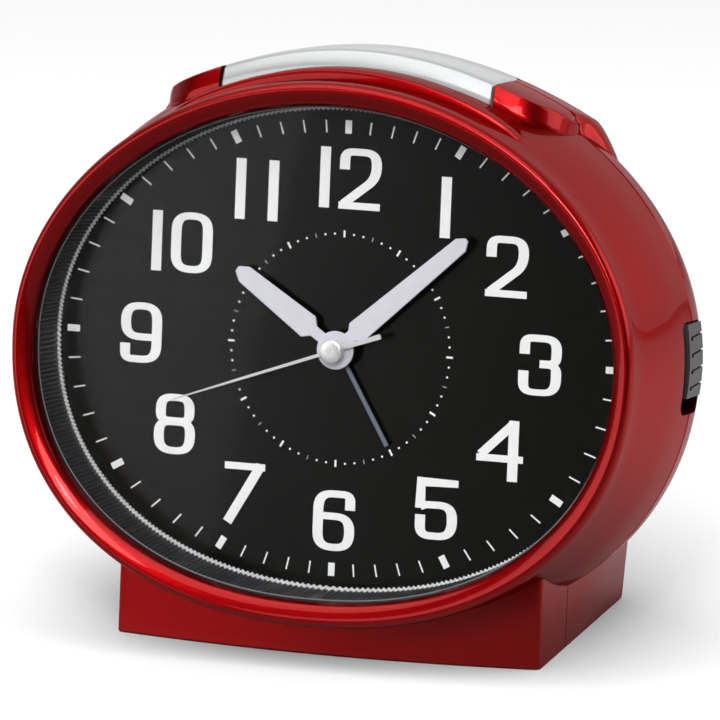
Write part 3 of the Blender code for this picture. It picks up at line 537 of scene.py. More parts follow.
def rear_arch(inset):
    """The tail of the arch behind the seam: it flares out, then sinks into the dome and narrows."""
    start = SEAM_Y + GAP
    stations = smooth_path(
        [
            (start + 0.3, 0.0, 1.0, 0.0), (16.6, 0.22, 1.0, 0.03), (18.8, 0.78, 1.0, 0.2), (21.0, 1.0, 1.0, 0.5),
            (24.5, 1.0, 0.98, 1.3), (28.5, 1.0, 0.92, 2.8), (32.5, 1.0, 0.79, 5.3), (36.0, 1.0, 0.56, 8.5),
            (38.6, 1.0, 0.26, 11.5),
        ],
        3,
    )
    rings = [tail_section(start, 0.0, 0.994, 0.25, inset)]
    rings += [tail_section(y, flare, narrow, drop, inset) for y, flare, narrow, drop in stations]
    return loft("rear_arch", rings)


def stand_front(inset, back):
    """The front of the stand: bowed, with crisp but rounded upright corners and a chamfered foot."""
    rings = []
    corner = 0.7 if not inset else 0.1
    half = STAND_HALF - inset
    for x in ease_ends(half, 24, 4, corner):
        bow = STAND_BOW * (1 - (x / STAND_HALF) ** 2)
        over = max(0.0, abs(x) - (half - corner)) / corner
        front = STAND_FRONT_Y - bow + inset + corner * (1 - math.sqrt(max(0.0, 1 - over * over)))
        foot = 0.0 if inset else 0.45
        rings.append(at_x(x, [
            (front + foot, floor_z(front) + inset), (front, floor_z(front) + inset + foot), (front, -26.0),
            (back, -26.0), (back, floor_z(back) + inset),
        ]))
    return loft("stand", rings)


def stand_rear(inset, start):
    """The rear block: its back leans out from the table, then turns in under the dome with round corners."""
    key = [
        (STAND_BACK_Y + 0.25, None, 0.0), (53.4, -33.0, 0.4), (55.6, -24.4, 1.6), (56.2, -20.4, 2.6),
        (55.4, -16.6, 4.2), (52.6, -12.9, 6.0), (48.6, -10.2, 6.6), (43.0, -8.2, 4.5),
    ]
    profile = [(y, floor_z(STAND_BACK_Y) + 0.4 if z is None else z, k) for y, z, k in key]
    profile = smooth_path(profile, 3)
    half = STAND_HALF - inset
    flat = 30.5
    rings = []
    for x in ease_ends(half, 4, 8, half - flat):
        pull = (max(0.0, abs(x) - flat) / (half - flat)) ** 2
        over = max(0.0, abs(x) - (half - 0.8)) / 0.8
        edge = 0.7 * (1 - math.sqrt(max(0.0, 1 - over * over)))
        ring = [(x, start, floor_z(start) + inset)]
        ring.append((x, STAND_BACK_Y - inset - edge - 0.3, floor_z(STAND_BACK_Y - 0.3) + inset))
        for y, z, sweep in profile:
            ring.append((x, y - inset - sweep * pull - edge, z + (inset if z < -30 else -inset)))
        ring.append((x, start, -8.0))
        rings.append(ring)
    return loft("block", rings)


def slot_cutter():
    """The slide switch's slot in the side wall, with round ends."""
    outline = []
    low, high, radius = SLOT_Z[0], SLOT_Z[1], 2.0
    corners = ((SLOT_Y[1], high, 0), (SLOT_Y[0], high, 90), (SLOT_Y[0], low, 180), (SLOT_Y[1], low, 270))
    for y, z, start in corners:
        centre_y = y - math.copysign(radius, y - sum(SLOT_Y) / 2)
        centre_z = z - math.copysign(radius, z - sum(SLOT_Z) / 2)
        for i in range(7):
            angle = math.radians(start + 15 * i)
            outline.append((centre_y + radius * math.cos(angle), centre_z + radius * math.sin(angle)))
    return loft("slot", [at_x(55.0, outline), at_x(70.0, outline)])


def build_front_shell():
    hollow = [(RIM_Y - 3.0, 1.9), (-6.9, 1.9), (-6.9, 3.2), (-4.9, 3.2), (-4.9, 2.0), (3.0, 0.8), (SEAM_Y + 1.0, 0.0)]
    steps = [
        ("UNION", stand_front(0.0, SEAM_Y)),
        ("UNION", front_ledge()),
        ("UNION", front_arch()),
        ("DIFFERENCE", loft("hollow", [inset_oval(*station) for station in hollow])),
        ("DIFFERENCE", stand_front(WALL, SEAM_Y + 1.0)),
        ("DIFFERENCE", block("pocket", (-BAR_HALF - GAP, ARCH_FRONT_Y - GAP, 38.0),
                             (BAR_HALF + GAP, SEAM_Y + 2.0, 60.0))),
        ("DIFFERENCE", slot_cutter()),
    ]
    mesh = solve("front_shell", loft("barrel", barrel_rings(0.0)), steps)
    piece("front_shell", mesh, "case_red", stands_for=["front_case"])


# ------------------------ lip, window and ring


def oval_ring(name, section):
    """A closed ring whose section is a list of (inset from the lip, y)."""
    return loft(name, [inset_oval(y, inset) for inset, y in section], closed=True)


def build_bezel():
    crown = smooth_path(
        [(0.3, -10.15), (0.0, -10.5), (0.0, -11.2), (0.35, -12.4), (1.25, -13.15), (3.1, -12.45), (3.9, -11.6),
         (4.1, -10.3)], 4
    )
    section = crown + [(4.05, -9.35), (2.95, -9.35), (2.95, -8.5), (2.05, -8.5), (2.05, -10.1)]
    piece("lip", oval_ring("lip", section), "case_red", stands_for=["bezel"], angle=40)


def build_lens():
    rings = [inset_oval(-8.2, 3.1), inset_oval(-9.15, 3.1), inset_oval(-9.3, 3.3)]
    piece("window", loft("window", rings), "lens_clear", stands_for=["lens"])
    # A grey ring just inside the lip: a painted highlight for the light line of the window's edge.
    bead = [(4.2, -9.28), (4.27, -9.38), (4.4, -9.38), (4.47, -9.28)]
    piece("window_edge_highlight", oval_ring("bead", bead), "bead")


RIBS = 368


def ribbed_oval(y, inset, depth):
    """An outline with fine V ribs that stand depth proud of it, towards the dial's centre."""
    loop = []
    for i in range(RIBS):
        for share, rise in ((0.0, 0.0), (0.5, depth)):
            x, z = oval_point(math.tau * (i + share) / RIBS, LIP_A - inset - rise, LIP_B - 1.1 * inset - rise)
            loop.append((x, leaned(y, z), z))
    return loop


def build_light_ring():
    """The ribbed wall between the window and the dial, and its serrated foot, pale partly in its own tone and partly as
    a painted glint of the light its clear serrations catch.
    """
    wall = ((-8.1, 2.1, 0.0), (-7.2, 2.1, 0.0), (-7.2, 3.4, 0.0), (-0.75, 3.9, 0.0), (-0.75, 4.55, 0.35),
            (-7.9, 3.85, 0.35), (-8.1, 3.85, 0.1))
    mesh = loft("ring", [ribbed_oval(*station) for station in wall], closed=True)
    piece("ribbed_ring", mesh, "ring_grey", stands_for=["light_ring"], angle=20)
    foot = ((-0.7, 3.95, 0.0), (-0.3, 3.95, 0.0), (-0.3, 5.0, 0.4), (-0.7, 4.8, 0.4))
    mesh = loft("foot", [ribbed_oval(*station) for station in foot], closed=True)
    piece("ring_foot", mesh, "ring_edge", angle=20)


# ------------------------ dial and its printing

PRINT_HEIGHT, PRINT_SINK = 0.06, 0.02
MARK_A, MARK_B, MARK_POWER = 52.3, 40.85, 2.1
ALARM_RING = 21.2


def clock_ray(degrees):
    """Unit vector of a direction given in degrees clockwise from twelve."""
    angle = math.radians(90 - degrees)
    return math.cos(angle), math.sin(angle)


def ray_point(degrees, distance, offset=0.0):
    """The point (x, z) at a distance along a ray from the centre, and beside it by offset."""
    x, z = clock_ray(degrees)
    return (x * distance - z * offset, z * distance + x * offset)


def radial_bar(name, degrees, middle, length, width):
    """A printed bar lying on a ray from the centre, its middle at the distance given."""
    corners = ((-1, -1), (1, -1), (1, 1), (-1, 1))
    outline = [ray_point(degrees, middle + d * length / 2, w * width / 2) for d, w in corners]
    return prism(name, outline, -PRINT_HEIGHT, PRINT_SINK)


def mark_distance(degrees):
    """Distance along a ray from the centre to the oval of minute marks."""
    x, z = clock_ray(degrees)
    return ((abs(x) / MARK_A) ** MARK_POWER + (abs(z) / MARK_B) ** MARK_POWER) ** (-1 / MARK_POWER)


def minute_marks():
    marks = []
    for minute in range(60):
        hour = minute % 5 == 0
        length, width = (2.45, 1.25) if hour else (2.3, 0.28)
        marks.append(radial_bar("mark", 6 * minute, mark_distance(6 * minute), length, width))
    return joined("marks", marks)


def dot(name, degrees, distance, radius):
    return turned(name, ray_point(degrees, distance), ((-PRINT_HEIGHT, radius), (PRINT_SINK, radius)), sides=12)


def alarm_marks():
    """The alarm ring: bars at the hours, a short tick at the half hours and dots between."""
    marks = []
    for hour in range(12):
        marks.append(radial_bar("bar", 30 * hour, ALARM_RING, 1.25, 0.37))
        for step in (5, 10, 20, 25):
            marks.append(dot("dot", 30 * hour + step, ALARM_RING, 0.2))
    return joined("alarm_marks", marks)


def half_marks():
    return joined("half_marks", [radial_bar("half", 30 * h + 15, ALARM_RING, 0.8, 0.15) for h in range(12)])


UPRIGHT, LEVEL = 1.95, 1.3
DIGIT_WIDTH, DIGIT_HEIGHT = 8.1, 11.2


def rounded_corner(before, corner, after, radius, steps=7):
    """Points that turn a corner of a path with a round bend."""
    corner, before, after = Vector(corner), Vector(before), Vector(after)
    back, ahead = before - corner, after - corner
    reach = min(radius, back.length * 0.5, ahead.length * 0.5)
    start, end = corner + back.normalized() * reach, corner + ahead.normalized() * reach
    points = []
    for i in range(steps + 1):
        t = i / steps
        points.append(start * (1 - t) ** 2 + corner * 2 * t * (1 - t) + end * t * t)
    return points


def rounded_path(corners, radii, closed=False):
    """A path through corners, each turned with its own radius. A radius of 0 keeps the corner sharp."""
    count = len(corners)
    points = []
    for i, corner in enumerate(corners):
        if not closed and i in (0, count - 1) or radii[i] == 0:
            points.append(Vector(corner))
        else:
            points += rounded_corner(corners[i - 1], corner, corners[(i + 1) % count], radii[i])
    return points


def stroke_halves(points, closed, heavy, light):
    """The two edges of a stroke that is heavy where it runs up and light where it runs level."""
    left, right = [], []
    count = len(points)
    for i, point in enumerate(points):
        before = points[i - 1] if closed or i else point
        after = points[(i + 1) % count] if closed or i < count - 1 else point
        ways = [w.normalized() for w in (point - before, after - point) if w.length > 1e-9]
        way = sum(ways, Vector((0.0, 0.0))).normalized()
        half = math.hypot(heavy * way.y, light * way.x) / 2
        if len(ways) == 2:
            half /= max(0.5, ways[0].dot(way))
        side = Vector((-way.y, way.x)) * half
        left.append(point + side)
        right.append(point - side)
    return left, right


def stroke(name, corners, radii=None, closed=False, heavy=UPRIGHT, light=LEVEL, at=(0.0, 0.0)):
    """One printed stroke of a numeral, as a thin raised solid."""
    corners = [Vector(c) for c in corners]
    radii = radii or [0] * len(corners)
    left, right = stroke_halves(rounded_path(corners, radii, closed), closed, heavy, light)
    count = len(left)
    points = []
    for y in (-PRINT_HEIGHT, PRINT_SINK):
        points += [(p.x + at[0], y, p.y + at[1]) for p in left + right]
    faces = []
    for i in range(count if closed else count - 1):
        j = (i + 1) % count
        a, b, c, d = i, j, count + j, count + i
        up = 2 * count
        faces.append((a, b, c, d))
        faces.append((d + up, c + up, b + up, a + up))
        faces.append((b, a, a + up, b + up))
        faces.append((d, c, c + up, d + up))
    if not closed:
        for i in (0, count - 1):
            faces.append((i, count + i, 3 * count + i, 2 * count + i))
    return mesh_of(name, points, faces)


def digit_strokes(digit):
    """The centre lines of a digit, as (corners, radii, closed), in a box from (0, 0)."""
    left, right = UPRIGHT / 2, DIGIT_WIDTH - UPRIGHT / 2
    low, high = LEVEL / 2, DIGIT_HEIGHT - LEVEL / 2
    bend = 2.7
    waist = 6.1
    if digit == 0:
        return [([(left, low), (right, low), (right, high), (left, high)], [bend] * 4, True)]
    if digit == 1:
        middle = DIGIT_WIDTH / 2
        return [([(middle, 0.0), (middle, DIGIT_HEIGHT)], None, False)]
    if digit == 2:
        hook = [(left, 7.25), (left, high), (right, high), (right, 5.9), (left - 0.15, low + 0.2)]
        return [(hook, [0, bend, bend, 2.0, 0], False), ([(0.0, low), (DIGIT_WIDTH - 0.1, low)], None, False)]
    if digit == 3:
        upper = [(left, 7.55), (left, high), (right, high), (right - 0.1, waist - 0.15), (3.9, waist - 0.15)]
        lower = [(left - 0.1, 4.5), (left - 0.1, low), (right, low), (right, waist - 0.35), (3.9, waist - 0.35)]
        return [(upper, [0, bend, bend, 1.5, 0], False), (lower, [0, bend, bend, 1.9, 0], False)]
    if digit == 4:
        stem = 6.6
        return [
            ([(stem, 0.0), (stem, DIGIT_HEIGHT)], None, False),
            ([(-0.4, 4.1), (8.55, 4.1)], None, False),
            ([(0.35, 4.6), (stem - 0.25, DIGIT_HEIGHT - 0.75)], None, False),
        ]
    if digit == 5:
        top = [(left - 1.05 + UPRIGHT / 2, 5.65), (left, high), (DIGIT_WIDTH, high)]
        bowl = [(left, 5.95), (left + 1.0, 6.35), (right, 6.45), (right, low), (left, low), (left, 4.45)]
        return [(top, [0, 0, 0], False), (bowl, [0, 0.8, bend, bend, bend, 0], False)]
    if digit == 6:
        loop = [(left, low), (right, low), (right, waist + 0.3), (left, waist + 0.3)]
        arm = [(left, 4.4), (left, high), (right, high), (right, 7.7)]
        return [(loop, [bend, bend, bend, 0.4], True), (arm, [0, bend, bend, 0], False)]
    if digit == 7:
        return [
            ([(0.0, high), (DIGIT_WIDTH - 0.2, high)], None, False),
            ([(right - 0.05, high + 0.4), (0.85, 0.0)], None, False),
        ]
    if digit == 8:
        inner = 0.25
        upper = [(left + inner, waist + 0.1), (right - inner, waist + 0.1), (right - inner, high), (left + inner, high)]
        lower = [(left, low), (right, low), (right, waist - 0.1), (left, waist - 0.1)]
        return [(upper, [1.6, 1.6, bend, bend], True), (lower, [bend, bend, 2.1, 2.1], True)]
    loop = [(left, DIGIT_HEIGHT - waist - 0.3), (right, DIGIT_HEIGHT - waist - 0.3), (right, high), (left, high)]
    arm = [(right, DIGIT_HEIGHT - 4.4), (right, low), (left, low), (left, DIGIT_HEIGHT - 7.7)]
    return [(loop, [bend, 0.4, bend, bend], True), (arm, [0, bend, bend, 0], False)]


ONE_PITCH = 6.4
NUMERAL_PLACES = {
    1: (19.3, 27.4), 2: (31.5, 17.4), 3: (38.6, -0.15), 4: (31.55, -16.25), 5: (19.85, -28.1), 6: (0.1, -31.8),
    7: (-17.5, -28.1), 8: (-31.7, -16.4), 9: (-38.95, 0.1), 10: (-33.25, 17.45), 11: (-17.3, 28.15),
    12: (-0.95, 31.4),
}


def digit(value, x, z, order):
    """A printed digit centred on (x, z). order lifts it a hair, so that crossing strokes never lie in one plane."""
    made = []
    for i, (corners, radii, closed) in enumerate(digit_strokes(value)):
        at = (x - DIGIT_WIDTH / 2, z - DIGIT_HEIGHT / 2)
        light = 1.15 if value == 3 and i == 1 else LEVEL
        mesh = stroke("stroke", corners, radii, closed, light=light, at=at)
        for vertex in mesh.vertices:
            vertex.co.y -= 0.004 * (i + order)
        made.append(mesh)
    return made


def numerals():
    strokes = []
    for hour, (x, z) in NUMERAL_PLACES.items():
        if hour < 10:
            strokes += digit(hour, x, z, 0)
        elif hour == 11:
            strokes += digit(1, x - ONE_PITCH / 2, z, 0) + digit(1, x + ONE_PITCH / 2, z, 0)
        else:
            strokes += digit(1, x - 3.25, z, 0) + digit(hour - 10, x + 3.6, z, 0)
    return joined("numerals", strokes)


def build_dial():
    plate = loft("plate", [inset_oval(0.8, 4.2), inset_oval(0.05, 4.2), inset_oval(0.0, 4.25)])
    plate = solve("dial_plate", plate, [("DIFFERENCE", turned("hole", (0, 0), ((-1.0, 3.2), (2.0, 3.2))))])
    piece("dial_plate", plate, "dial_black", stands_for=["dial"])
    piece("dial_numerals", numerals(), "print")
    piece("minute_marks", minute_marks(), "print")
    piece("alarm_marks", alarm_marks(), "print")
    piece("half_hour_marks", half_marks(), "print_grey")


# ------------------------ hands


def bevelled_blade(name, outline, y0, y1, edge=0.12):
    """A flat hand with its front edges turned down. outline runs round the hand in dial (x, z)."""
    points = [Vector(p) for p in outline]
    count = len(points)
    area = sum(points[i - 1].cross(points[i]) for i in range(count))
    shrunk = []
    for i, point in enumerate(points):
        first = (point - points[i - 1]).normalized()
        second = (points[(i + 1) % count] - point).normalized()
        inward = (Vector((-first.y, first.x)) + Vector((-second.y, second.x))) * math.copysign(1, area)
        shrunk.append(point + inward * edge / max(0.6, 1 + first.dot(second)))
    rings = [
        [(p.x, y1, p.y) for p in points],
        [(p.x, y0 + edge, p.y) for p in points],
        [(p.x, y0, p.y) for p in shrunk],
    ]
    return loft(name, rings)


def hand_outline(degrees, sides, hub):
    """The outline of a hand with a round hub. sides are (distance, half width), from the hub to the tip."""
    outline = [ray_point(degrees, d, -w) for d, w in sides]
    outline += [ray_point(degrees, d, w) for d, w in reversed(sides)]
    neck = sides[0]
    start = math.atan2(neck[1], neck[0])
    for i in range(1, 32):
        angle = start + (math.tau - 2 * start) * i / 32
        outline.append(ray_point(degrees, hub * math.cos(angle), hub * math.sin(angle)))
    return outline


def build_hands():
    def neck_start(hub, half):
        return (math.sqrt(hub * hub - half * half), half)

    hour = [neck_start(3.2, 1.05), (5.5, 1.05), (6.8, 2.35), (22.4, 1.72), (24.1, 0.55)]
    minute = [neck_start(3.55, 1.2), (4.3, 1.2), (5.4, 2.15), (31.4, 1.48), (32.9, 0.4)]
    alarm = [neck_start(2.7, 0.42), (19.9, 0.42)]
    specs = (
        ("alarm_pointer", ALARM_DEG, alarm, 2.7, -1.3, -0.95, "hand_blue", "alarm_train", "alarm_hand"),
        ("hour_pointer", HOUR_DEG, hour, 3.2, -2.1, -1.7, "hand_white", "hour_train", "hour_hand"),
        ("minute_pointer", MINUTE_DEG, minute, 3.55, -2.9, -2.5, "hand_white", "minute_train", "minute_hand"),
    )
    for name, degrees, sides, hub, y0, y1, look, body, node in specs:
        blade = bevelled_blade(name, hand_outline(degrees, sides, hub), y0, y1)
        bore = 2.2 if node == "alarm_hand" else 1.1
        hole = turned("hole", (0, 0), ((y0 - 1, bore), (y1 + 1, bore)))
        piece(name, solve(name, blade, [("DIFFERENCE", hole)]), look, body, [node])
    build_second_hand()


def build_second_hand():
    """A needle that tapers to its tip, with a slim counterweight tail, a boss and a cap."""
    sides = ((-9.6, 0.44), (-9.3, 0.5), (-1.2, 0.36), (1.2, 0.34), (20.0, 0.25), (32.9, 0.12))
    outline = [ray_point(SECOND_DEG, d, -w) for d, w in sides]
    outline += [ray_point(SECOND_DEG, d, w) for d, w in reversed(sides)]
    needle = bevelled_blade("needle", outline, -3.8, -3.5, 0.06)
    boss = turned("boss", (0, 0), ((-3.85, 1.5), (-3.75, 1.6), (-3.45, 1.6)))
    bore = turned("bore", (0, 0), ((-5.0, 0.55), (-2.0, 0.55)), 24)
    mesh = solve("second_pointer", needle, [("UNION", boss), ("DIFFERENCE", bore)])
    piece("second_pointer", mesh, "second_hand", "second_train", ["second_hand"])
    dome = smooth_path([(-5.6, 0.4), (-5.58, 1.2), (-5.45, 1.9), (-5.2, 2.1), (-4.1, 2.1)], 3)
    piece("pointer_cap", turned("cap", (0, 0), dome, 64), "cap_silver", "second_train", ["second_hand_cap"])


# ------------------------ snooze bar and alarm slider


def build_snooze_bar():
    """The curved silver bar: a chamfered front edge, a crowned top and soft ends."""
    rings = []
    stations = [(-BAR_HALF, 0.55), (-BAR_HALF + 0.12, 0.25), (-BAR_HALF + 0.45, 0.0)]
    inner = [(x, 0.0) for x in along_x(BAR_HALF - 1.2, 36)]
    mirrored = [(-x, drop) for x, drop in reversed(stations)]
    for x, shrink in stations + inner + mirrored:
        top = arch(x) - shrink
        front, back = ARCH_FRONT_Y + shrink, BAR_BACK_Y - shrink
        skirt = arch(x) - 6.2
        rings.append(at_x(x, [
            (front, skirt), (front, top - 3.0), (front + 0.08, top - 2.75), (front + 0.95, top - 0.75),
            (front + 1.25, top - 0.4), (front + 1.9, top - 0.1), (front + 3.2, top + 0.02),
            ((front + back) / 2, top + 0.12), (back - 1.0, top - 0.02), (back - 0.35, top - 0.2),
            (back, top - 0.75), (back, skirt), (back - BAR_SKIN, skirt), (back - BAR_SKIN, skirt + 4.2),
            (front + BAR_SKIN, skirt + 4.2), (front + BAR_SKIN, skirt),
        ]))
    mesh = loft("bar", rings)
    piece("silver_bar", mesh, "bar_silver", "snooze", ["snooze_bar"], angle=32)


def side_x(z):
    """How far out the case's side stands at height z, along its seam."""
    return SEAM_A * (1 - (abs(z) / SEAM_B) ** SEAM_POWER_TOP) ** (1 / SEAM_POWER_TOP)


def build_slider():
    """The slide button: a plate flush with the case, cut across by four grooves, on a black carrier."""
    low, high = BUTTON_Z
    rows = [low + (high - low) * i / 12 for i in range(13)]
    outline = [(61.2, low)] + [(side_x(z) + 0.1, z) for z in rows] + [(61.2, high)]
    steps = []
    for i in range(4):
        z = 5.75 - 3.05 * i
        front, back = BUTTON_Y[0] + 1.7, BUTTON_Y[1] + 1.0
        corners = ((62.2, -GROOVE_HALF), (65.0, -GROOVE_HALF), (65.0, GROOVE_HALF), (62.2, GROOVE_HALF))
        rings = [[(x, y, z + rise + half) for x, half in corners] for y, rise in ((front, -0.25), (back, 0.3))]
        steps.append(("DIFFERENCE", loft("groove", rings)))
        angles = [math.tau * j / 20 for j in range(20)]
        hook = [(front + 0.1 + 0.75 * math.cos(a), z - 0.42 + 0.42 * math.sin(a)) for a in angles]
        steps.append(("DIFFERENCE", loft("hook", [at_x(62.0, hook), at_x(65.0, hook)])))
    mesh = solve("button", prism("button", outline, *BUTTON_Y), steps)
    made = piece("slide_button", mesh, "slider_grey", "alarm_slide", ["alarm_slider"], angle=25)
    soften(made, 0.12)
    carrier = [(55.2, SLOT_Z[0] - 1.3), (56.6, SLOT_Z[0] - 1.3), (56.6, low), (61.2, low), (61.2, high),
               (56.6, high), (56.6, SLOT_Z[1] + 3.5), (55.2, SLOT_Z[1] + 3.5)]
    mesh = prism("carrier", carrier, BUTTON_Y[0] + 0.1, BUTTON_Y[1] - 0.1)
    piece("slide_carrier", mesh, "black_plastic", "alarm_slide")


def soften(made, width):
    """Rounds a piece's edges."""
    rounding = made.modifiers.new("rounding", "BEVEL")
    rounding.width = width * MM
    rounding.segments = 2
    rounding.limit_method = "ANGLE"
    rounding.angle_limit = math.radians(35.0)
    rounding.harden_normals = True


# ------------------------ the back

TIME_KNOB = dial_place("time_set_turn")
ALARM_KNOB = dial_place("alarm_set_turn")
DOOR_HALF, DOOR_LENGTH, DOOR_THICK = 29.0, 20.0, 1.8
DOOR_LOW = (50.15, -46.0)
DOOR_TILT = math.atan2(BACK_TOP_Y - STAND_BACK_Y, BACK_TOP_Z - floor_z(STAND_BACK_Y))


def door_point(out, up):
    """A point of the leaning back face: out from its skin's middle, and up it from the door's hinge."""
    skin = DOOR_THICK / 2
    y = DOOR_LOW[0] + up * math.sin(DOOR_TILT) + (out - skin) * math.cos(DOOR_TILT)
    z = DOOR_LOW[1] + up * math.cos(DOOR_TILT) - (out - skin) * math.sin(DOOR_TILT)
    return (y, z)


def section_prism(name, outline, half):
    """A (y, z) outline pushed from -half to half along x."""
    return loft(name, [at_x(-half, outline), at_x(half, outline)])


def build_rear_shell():
    start = SEAM_Y + GAP
    mouth = [door_point(o, u) for o, u in ((-9.0, -1.3), (5.0, -1.3), (5.0, DOOR_LENGTH + GAP),
                                          (-9.0, DOOR_LENGTH + GAP))]
    steps = [
        ("UNION", stand_rear(0.0, start)),
        ("UNION", rear_arch(0.0)),
        ("DIFFERENCE", loft("hollow", dome_rings(WALL, 12.0))),
        ("DIFFERENCE", stand_rear(WALL, 14.0)),
        ("DIFFERENCE", block("pocket", (-BAR_HALF - GAP, SEAM_Y - 2.0, 38.0),
                             (BAR_HALF + GAP, BAR_BACK_Y + GAP, 60.0))),
        ("DIFFERENCE", slot_cutter()),
        ("DIFFERENCE", section_prism("mouth", mouth, DOOR_HALF + GAP)),
    ]
    for place in (TIME_KNOB, ALARM_KNOB):
        steps.append(("DIFFERENCE", turned("recess", place, ((51.35, 6.3), (60.0, 6.6)))))
        steps.append(("DIFFERENCE", turned("hole", place, ((45.0, 1.8), (60.0, 1.8)), 32)))
    for i in range(7):
        half = 7.5 - 0.55 * (i - 3) ** 2
        z = 17.0 + 1.9 * (i - 3)
        steps.append(("DIFFERENCE", block("slit", (-half, 45.0, z - 0.45), (half, 60.0, z + 0.45))))
    for place in CASE_BOSSES:
        steps.append(("DIFFERENCE", turned("well", place, ((19.0, 3.2), (70.0, 3.2)), 32)))
    mesh = solve("rear_shell", loft("dome", dome_rings(0.0, start)), steps)
    piece("rear_shell", mesh, "case_red", stands_for=["rear_case"])


def build_knobs():
    """Two fluted setting knobs."""
    for name, place, body, node in (("time_knob", TIME_KNOB, "time_set", "time_set_knob"),
                                    ("alarm_knob", ALARM_KNOB, "alarm_set", "alarm_set_knob")):
        rings = []
        flutes = 20
        for y, radius, depth in ((52.2, 4.8, 0.0), (52.35, 5.3, 0.35), (55.3, 5.55, 0.4), (55.85, 5.35, 0.25),
                                 (56.05, 4.9, 0.0), (56.05, 3.4, 0.0), (55.5, 3.0, 0.0)):
            ring = []
            for i in range(flutes * 6):
                angle = math.tau * i / (flutes * 6)
                r = radius - depth * (0.5 - 0.5 * math.cos(flutes * angle)) ** 2
                ring.append((place[0] + r * math.cos(angle), y, place[1] + r * math.sin(angle)))
            rings.append(ring)
        piece(name, loft(name, rings), "black_plastic", body, [node])


def build_door():
    outline = []
    reach = DOOR_THICK / 2
    for i in range(17):
        angle = math.radians(180.0 + 180.0 * i / 16)
        outline.append(door_point(reach * math.cos(angle), reach * math.sin(angle)))
    outline += [door_point(reach, DOOR_LENGTH - 0.25), door_point(reach - 0.25, DOOR_LENGTH),
                door_point(-reach, DOOR_LENGTH)]
    door = section_prism("door", outline, DOOR_HALF)
    grips = []
    for i in range(4):
        up = DOOR_LENGTH - 3.0 - 1.3 * i
        grip = [door_point(reach - 0.5, up), door_point(reach + 1.0, up),
                door_point(reach + 1.0, up + 0.65), door_point(reach - 0.5, up + 0.65)]
        grips.append(("DIFFERENCE", section_prism("grip", grip, 7.0 - 0.9 * i)))
    mesh = solve("cell_door", door, grips)
    piece("cell_door", mesh, "case_red", "door", ["battery_door"])


# ------------------------ stage


FLOOR_HALF, FLOOR_TONE = 12.0, 0.93
BOUNCE_NEAR, BOUNCE_FAR = (-0.10, 0.20), (0.06, 0.95)


def build_floor():
    """A plain pale floor. In front of the clock it casts less light back up, as a small table would."""
    mesh = bpy.data.meshes.new("floor")
    corners = ((-1, -1), (1, -1), (1, 1), (-1, 1))
    mesh.from_pydata([(x * FLOOR_HALF, y * FLOOR_HALF, 0) for x, y in corners], [], [(0, 1, 2, 3)])
    floor = bpy.data.objects.new("floor", mesh)
    bpy.context.scene.collection.objects.link(floor)
    material = bpy.data.materials.new("floor")
    material.use_nodes = True
    tree = material.node_tree
    shader = tree.nodes["Principled BSDF"]
    shader.inputs["Roughness"].default_value = 0.9
    place = tree.nodes.new("ShaderNodeSeparateXYZ")
    tree.links.new(tree.nodes.new("ShaderNodeTexCoord").outputs["Object"], place.inputs["Vector"])
    bounced = tree.nodes.new("ShaderNodeMapRange")
    for end, (where, tone) in (("Min", BOUNCE_NEAR), ("Max", BOUNCE_FAR)):
        bounced.inputs["From " + end].default_value = where
        bounced.inputs["To " + end].default_value = tone
    tree.links.new(place.outputs["Y"], bounced.inputs["Value"])
    seen = tree.nodes.new("ShaderNodeMapRange")
    seen.inputs["To Max"].default_value = FLOOR_TONE
    tree.links.new(bounced.outputs["Result"], seen.inputs["To Min"])
    tree.links.new(tree.nodes.new("ShaderNodeLightPath").outputs["Is Camera Ray"], seen.inputs["Value"])
    tree.links.new(seen.outputs["Result"], shader.inputs["Base Color"])
    mesh.materials.append(material)


def area_light(name, place, size, power):
    """A soft rectangular light that faces the clock's middle."""
    light = bpy.data.lights.new(name, "AREA")
    light.shape = "RECTANGLE"
    light.size, light.size_y = size
    light.energy = power
    made = bpy.data.objects.new(name, light)
    made.location = place
    made.rotation_euler = (Vector((0.0, 0.0, 0.05)) - Vector(place)).to_track_quat("-Z", "Y").to_euler()
    bpy.context.scene.collection.objects.link(made)


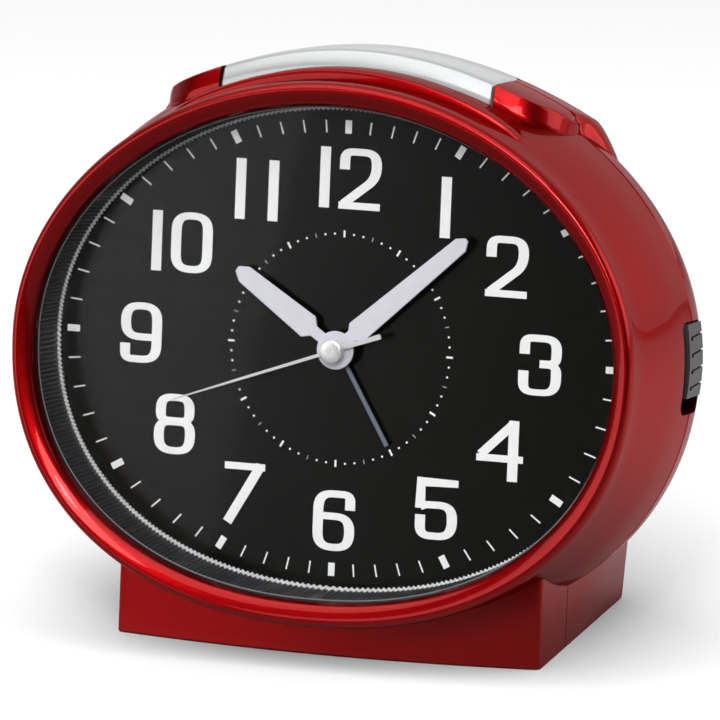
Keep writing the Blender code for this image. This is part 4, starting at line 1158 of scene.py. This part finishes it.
def build_world():
    """Soft surroundings: bright behind the object, dim in front of it."""
    world = bpy.data.worlds.new("studio")
    world.use_nodes = True
    tree = world.node_tree
    parts = tree.nodes.new("ShaderNodeSeparateXYZ")
    tree.links.new(tree.nodes.new("ShaderNodeTexCoord").outputs["Generated"], parts.inputs["Vector"])
    shift = tree.nodes.new("ShaderNodeMath")
    shift.operation = "MULTIPLY_ADD"
    shift.inputs[1].default_value = shift.inputs[2].default_value = 0.5
    tree.links.new(parts.outputs["Y"], shift.inputs[0])
    greys = ((0.0, 0.03), (0.40, 0.05), (0.60, 0.40), (0.85, 0.92), (1.0, 1.0))
    tones = colour_ramp(tree, shift.outputs["Value"], [(position, (grey,) * 3) for position, grey in greys])
    tree.links.new(tones, tree.nodes["Background"].inputs["Color"])
    tree.nodes["Background"].inputs["Strength"].default_value = 1.1
    bpy.context.scene.world = world


def build_lights():
    area_light("key", (0.30, -1.30, 0.95), (0.8, 0.6), 12.0)
    area_light("catch_light", (0.31, -1.27, 0.90), (0.20, 0.14), 1.9)
    area_light("front_left_panel", (-1.0, -1.11, 0.42), (1.27, 0.9), 7.2)
    area_light("top", (-0.15, -0.35, 1.3), (1.6, 1.3), 14.5)
    area_light("right", (1.2, 0.3, 0.6), (0.8, 0.8), 4.4)


# The camera stands off to the right of the dial and a little above it, with a long lens.
CAMERA_AZIMUTH, CAMERA_ELEVATION, CAMERA_ROLL = 19.3225, 14.3416, -0.3846
CAMERA_DISTANCE = 1.46638
CAMERA_AIM = (0.003608, -0.017898, 0.053234)
CAMERA_LENS = 400.0


def build_camera():
    camera = bpy.data.cameras.new("camera")
    camera.lens = CAMERA_LENS
    camera.sensor_width = 36.0
    camera.clip_end = 20.0
    made = bpy.data.objects.new("camera", camera)
    azimuth, elevation = math.radians(CAMERA_AZIMUTH), math.radians(CAMERA_ELEVATION)
    level = math.cos(elevation)
    back = Vector((math.sin(azimuth) * level, -math.cos(azimuth) * level, math.sin(elevation)))
    made.location = Vector(CAMERA_AIM) + back * CAMERA_DISTANCE
    turn = back.to_track_quat("Z", "Y").to_matrix() @ Matrix.Rotation(math.radians(CAMERA_ROLL), 3, "Z")
    made.rotation_euler = turn.to_euler()
    bpy.context.scene.collection.objects.link(made)
    bpy.context.scene.camera = made


bpy.context.scene.view_settings.view_transform = "Standard"
bpy.context.scene.cycles.caustics_reflective = False
build_camera()
build_world()
build_lights()
build_floor()
finish_nodes()
build_front_shell()
build_bezel()
build_lens()
build_light_ring()
build_dial()
build_hands()
build_snooze_bar()
build_slider()
build_rear_shell()
build_knobs()
build_door()
